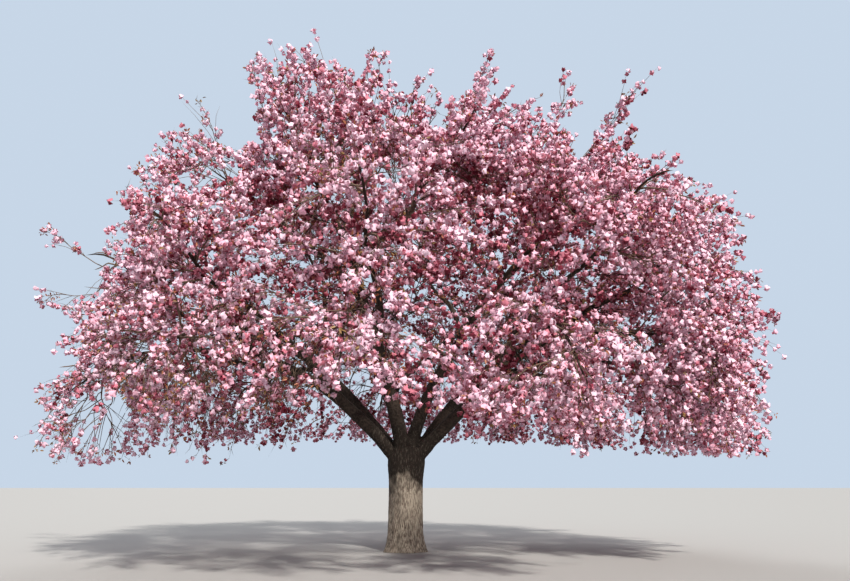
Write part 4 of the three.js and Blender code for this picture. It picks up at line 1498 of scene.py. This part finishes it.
class CherryBlossom(Operator):
    """Clusters of double flowers along the shoots, in tints that are dealt out by spray, with painted
    shade on the lowest flower of each cluster and on the clusters inside the crown.
    """

    bl_idname = "cherry.blossom"
    bl_label = "Blossom"

    def execute(self, context):
        look = context.scene.cherry_blossom
        growth = grown_twigs()
        materials = [
            new_material(f"petals_{name}", colour, ROUGHNESS["petal"], PETAL_SHEEN)
            for name, colour in (("pale", look.pale), ("pink", look.middle), ("deep", look.deep))
        ]
        # The bud colour also takes the petals that painted shade pushes past the deep tint
        materials.append(new_material("buds", look.bud, ROUGHNESS["bud"]))
        places = {mass.name: [] for mass in grown_masses()}
        for kind, (bare, apart) in BLOSSOM_RUNS.items():
            for k, (mass, lines, sprays, full) in enumerate(growth.paths[kind]):
                rng = np.random.default_rng(SEEDS[kind] + k)
                bears = rng.uniform(0, 1, len(lines)) < fullness(lines[:, -1]) * full
                if bears.any():
                    found = clusters_along(lines[bears], sprays[bears], bare, look.spacing * apart, rng)
                    places[mass.name].append(found)
        sets = {}
        for mass in grown_masses():
            found = [np.concatenate(one) for one in zip(*places[mass.name])]
            half = "right" if mass.centre[0] > 0 else "left"
            ring = "upper" if mass.ring == "top" else mass.ring
            sets.setdefault(f"blossom_{ring}_{half}", []).append(self.clusters(mass, *found, look))
        for name, parts in sets.items():
            points, faces = joined([(part[0], part[1]) for part in parts])
            slots = np.concatenate([part[2] for part in parts])
            piece = piece_from_arrays(name, points, faces, materials, slots)
            smooth(piece)
            seat(piece, [f"mass_{part[3]}" for part in parts])
        return {"FINISHED"}

    def clusters(self, mass, points, ways, sprays, look):
        """The clusters of one mass: points, faces, each face's tint and the mass's name."""
        rng = np.random.default_rng(SEEDS["clusters"] + mass.index)
        flat = unit(np.cross(ways, rng.normal(0, 1, (len(points), 3))))
        hang = unit(flat * HANG[0] - UP * HANG[1])
        centres = points + hang * rng.uniform(*HANG_LENGTHS, (len(points), 1))
        clear = clear_of_limbs(centres, CLUSTER_ROOM)
        centres, sprays = centres[clear], sprays[clear]
        count = len(centres)
        outward = unit(centres * FACING_FLATTENED - CROWN_HEART)
        out = unit(outward * FACING_OUT + rng.normal(0, FACING_STRAY, (count, 3)))
        sizes = look.radius * rng.uniform(*CLUSTER_SIZES, count)
        tints = self.tints(centres, sprays, rng)
        which = rng.integers(0, CLUSTER_SHAPES, count)
        side = unit(np.cross(out, rng.normal(0, 1, (count, 3))))
        axes = (side, np.cross(out, side), out)
        parts, slots = [], []
        for k in range(CLUSTER_SHAPES):
            mine = which == k
            if not mine.any():
                continue
            shape_rng = np.random.default_rng(SEEDS["cluster_shapes"] + k)
            shape, faces, flowers, shades, looks = cluster_shape(shape_rng)
            own_axes = [axis[mine] for axis in axes]
            parts.append(copies(shape, faces, own_axes, centres[mine], sizes[mine]))
            # Painted shade: the flower of each cluster that faces lowest takes a tint one step deeper,
            # as its shaded underside
            heights = (looks @ np.stack([axis[:, 2] for axis in own_axes])).T
            lowest = flowers[None] == heights.argmin(1)[:, None]
            deeper = tints[mine][:, None] + lowest + shades[None]
            slots.append(np.clip(deeper, 0, len(TINT_SHARES)).reshape(-1))
        return *joined(parts), np.concatenate(slots), mass.name

    def tints(self, centres, sprays, rng):
        """Each cluster's tint: its spray's or one of its own, and a step deeper inside the crown as
        painted shade.
        """
        count = len(centres)
        tint_rng = np.random.default_rng(SEEDS["tints"])
        tints = tint_rng.choice(len(TINT_SHARES), sprays.max() + 1, p=TINT_SHARES)[sprays]
        strays = rng.uniform(0, 1, count) < TINT_STRAYS
        tints = np.where(strays, rng.choice(len(TINT_SHARES), count, p=TINT_SHARES), tints)
        # Painted shade: clusters deep inside the crown take the next deeper tint
        return tints + (share_of_shell(centres) < rng.uniform(*PAINTED_SHADE_INSIDE, count))


# A leaf's outline and faces, its stalk and size beside the mean one, how it heads from its shoot,
# and the sprigs: their leaves, where they start along a shoot and how far apart they stand
BLADE = ((0, 0, 0), (0.2, 0.38, 0.1), (0.13, 0.78, 0.05), (0, 1, -0.08), (-0.13, 0.78, 0.05),
         (-0.2, 0.38, 0.1))
BLADE_FACES = ((0, 1, 2), (0, 2, 3), (0, 3, 4), (0, 4, 5))
LEAF_STALK = 0.3
LEAF_SIZES = (0.7, 1.2)
LEAF_HEADING = {"along": 0.6, "stray": 0.7, "droop": 0.1}
SPRIG_LEAVES = 3
SPRIGS_FROM = 0.3
SPRIGS_APART = 0.16
# Of every five sprays, two have bronze leaves
BRONZE_SPRAYS = (3, 4)


class CherryLeaves(Operator):
    """Sprigs of young coppery leaves among the blossom."""

    bl_idname = "cherry.leaves"
    bl_label = "Young leaves"

    def execute(self, context):
        look = context.scene.cherry_leaves
        growth = grown_twigs()
        materials = [new_material("leaves_copper", look.copper, ROUGHNESS["leaf"]),
                     new_material("leaves_bronze", look.bronze, ROUGHNESS["leaf"])]
        blade, blade_faces = np.array(BLADE), np.array(BLADE_FACES)
        parts, slots = [], []
        for k, (_, shoots, sprays, _) in enumerate(growth.paths["shoots"]):
            rng = np.random.default_rng(SEEDS["leaves"] + k)
            points, ways, owners = clusters_along(shoots, sprays, SPRIGS_FROM, SPRIGS_APART, rng)
            keep = rng.uniform(0, 1, len(points)) < look.share
            points, ways, owners = points[keep], ways[keep], owners[keep]
            count = len(points)
            tints = np.isin(owners % 5, BRONZE_SPRAYS).astype(int)
            for _ in range(SPRIG_LEAVES):
                tips = unit(ways * LEAF_HEADING["along"]
                            + rng.normal(0, LEAF_HEADING["stray"], (count, 3))
                            - UP * LEAF_HEADING["droop"])
                side = unit(np.cross(tips, rng.normal(0, 1, (count, 3))))
                sizes = look.length * rng.uniform(*LEAF_SIZES, count)
                parts.append(copies(blade, blade_faces, (side, tips, np.cross(side, tips)), points,
                                    sizes, tips[:, None] * LEAF_STALK))
                slots.append(np.repeat(tints, len(blade_faces)))
        points, faces = joined(parts)
        piece = piece_from_arrays("young_leaves", points, faces, materials, np.concatenate(slots))
        seat(piece, [f"mass_{mass.name}" for mass in grown_masses()])
        return {"FINISHED"}


# The stage: the floor, the sky's colour, each lamp's width in degrees, colour and place in the sky,
# and the camera's sensor in millimetres
FLOOR = {"size": 400, "height": -0.002, "colour": (0.42, 0.42, 0.41)}
SKY_COLOUR = (0.9, 0.92, 1.0)
SUN = {"width": 4, "colour": (1.0, 0.95, 0.88), "place": (-66, 42)}
BACK_LIGHT = {"width": 25, "colour": (0.95, 0.97, 1.0), "place": (100, 35)}
SENSOR_WIDTH = 36
FARTHEST = 1000


class CherryStage(Operator):
    """Pale floor, soft light and the camera."""

    bl_idname = "cherry.stage"
    bl_label = "Stage"

    def execute(self, context):
        look = context.scene.cherry_stage
        bpy.ops.object.select_all(action="DESELECT")
        bpy.ops.mesh.primitive_plane_add(size=FLOOR["size"], location=(0, 0, FLOOR["height"]))
        floor = bpy.context.view_layer.objects.active
        floor.name = "floor"
        floor.data.materials.append(new_material("floor_pale", FLOOR["colour"], ROUGHNESS["floor"]))
        floor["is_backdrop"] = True

        world = bpy.data.worlds.new("soft_sky")
        context.scene.world = world
        world.use_nodes = True
        nodes, links = world.node_tree.nodes, world.node_tree.links
        light = nodes["Background"]
        light.inputs["Color"].default_value = (*SKY_COLOUR, 1)
        light.inputs["Strength"].default_value = look.sky
        behind = nodes.new("ShaderNodeBackground")
        behind.inputs["Color"].default_value = (*look.backdrop, 1)
        seen = nodes.new("ShaderNodeLightPath")
        choice = nodes.new("ShaderNodeMixShader")
        links.new(seen.outputs["Is Camera Ray"], choice.inputs["Fac"])
        links.new(light.outputs["Background"], choice.inputs[1])
        links.new(behind.outputs["Background"], choice.inputs[2])
        links.new(choice.outputs["Shader"], nodes["World Output"].inputs["Surface"])
        context.scene.view_settings.view_transform = "Standard"
        context.scene.view_settings.look = "Medium High Contrast"

        self.lamp("sun", look.sun, SUN)
        self.lamp("back_light", look.back, BACK_LIGHT)

        camera = new_object("camera", bpy.data.cameras.new("camera"))
        camera.location = look.eye
        camera.rotation_euler = (math.pi / 2 + look.pitch, 0, 0)
        camera.data.lens = look.lens
        camera.data.sensor_width = SENSOR_WIDTH
        camera.data.shift_y = look.shift
        camera.data.clip_end = FARTHEST
        context.scene.camera = camera
        return {"FINISHED"}

    def lamp(self, name, strength, kind):
        """A far lamp that shines from its place in the sky, so many degrees wide."""
        light = bpy.data.lights.new(name, "SUN")
        light.energy = strength
        light.angle = math.radians(kind["width"])
        light.color = kind["colour"]
        shining = Vector(-heading(*kind["place"]))
        new_object(name, light).rotation_euler = shining.to_track_quat("-Z", "Y").to_euler()


OPERATORS = (CherryTrunk, CherryBoughs, CherryTwigs, CherryBlossom, CherryLeaves, CherryStage)
SETTINGS = {
    "cherry_trunk": CherryTrunkSettings,
    "cherry_boughs": CherryBoughSettings,
    "cherry_twigs": CherryTwigSettings,
    "cherry_blossom": CherryBlossomSettings,
    "cherry_leaves": CherryLeafSettings,
    "cherry_stage": CherryStageSettings,
}


class CherryPanel(Panel):
    """Lists the pieces of the tree."""

    bl_idname = "VIEW3D_PT_cherry"
    bl_label = "Cherry tree"
    bl_space_type = "VIEW_3D"
    bl_region_type = "UI"
    bl_category = "Cherry"

    def draw(self, context):
        for operator, (name, group) in zip(OPERATORS, SETTINGS.items()):
            box = self.layout.box()
            box.operator(operator.bl_idname)
            for value in group.__annotations__:
                box.prop(getattr(context.scene, name), value)


def register():
    for group in SETTINGS.values():
        bpy.utils.register_class(group)
    for operator in OPERATORS:
        bpy.utils.register_class(operator)
    bpy.utils.register_class(CherryPanel)
    for name, group in SETTINGS.items():
        setattr(bpy.types.Scene, name, PointerProperty(type=group))


def unregister():
    for name in SETTINGS:
        delattr(bpy.types.Scene, name)
    bpy.utils.unregister_class(CherryPanel)
    for operator in reversed(OPERATORS):
        bpy.utils.unregister_class(operator)
    for group in reversed(SETTINGS.values()):
        bpy.utils.unregister_class(group)


def main():
    """Builds every piece in order."""
    register()
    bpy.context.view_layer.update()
    bpy.ops.cherry.trunk()
    bpy.ops.cherry.boughs()
    bpy.ops.cherry.twigs()
    bpy.ops.cherry.blossom()
    bpy.ops.cherry.leaves()
    bpy.ops.cherry.stage()
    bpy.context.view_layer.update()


if __name__ == "__main__":
    main()
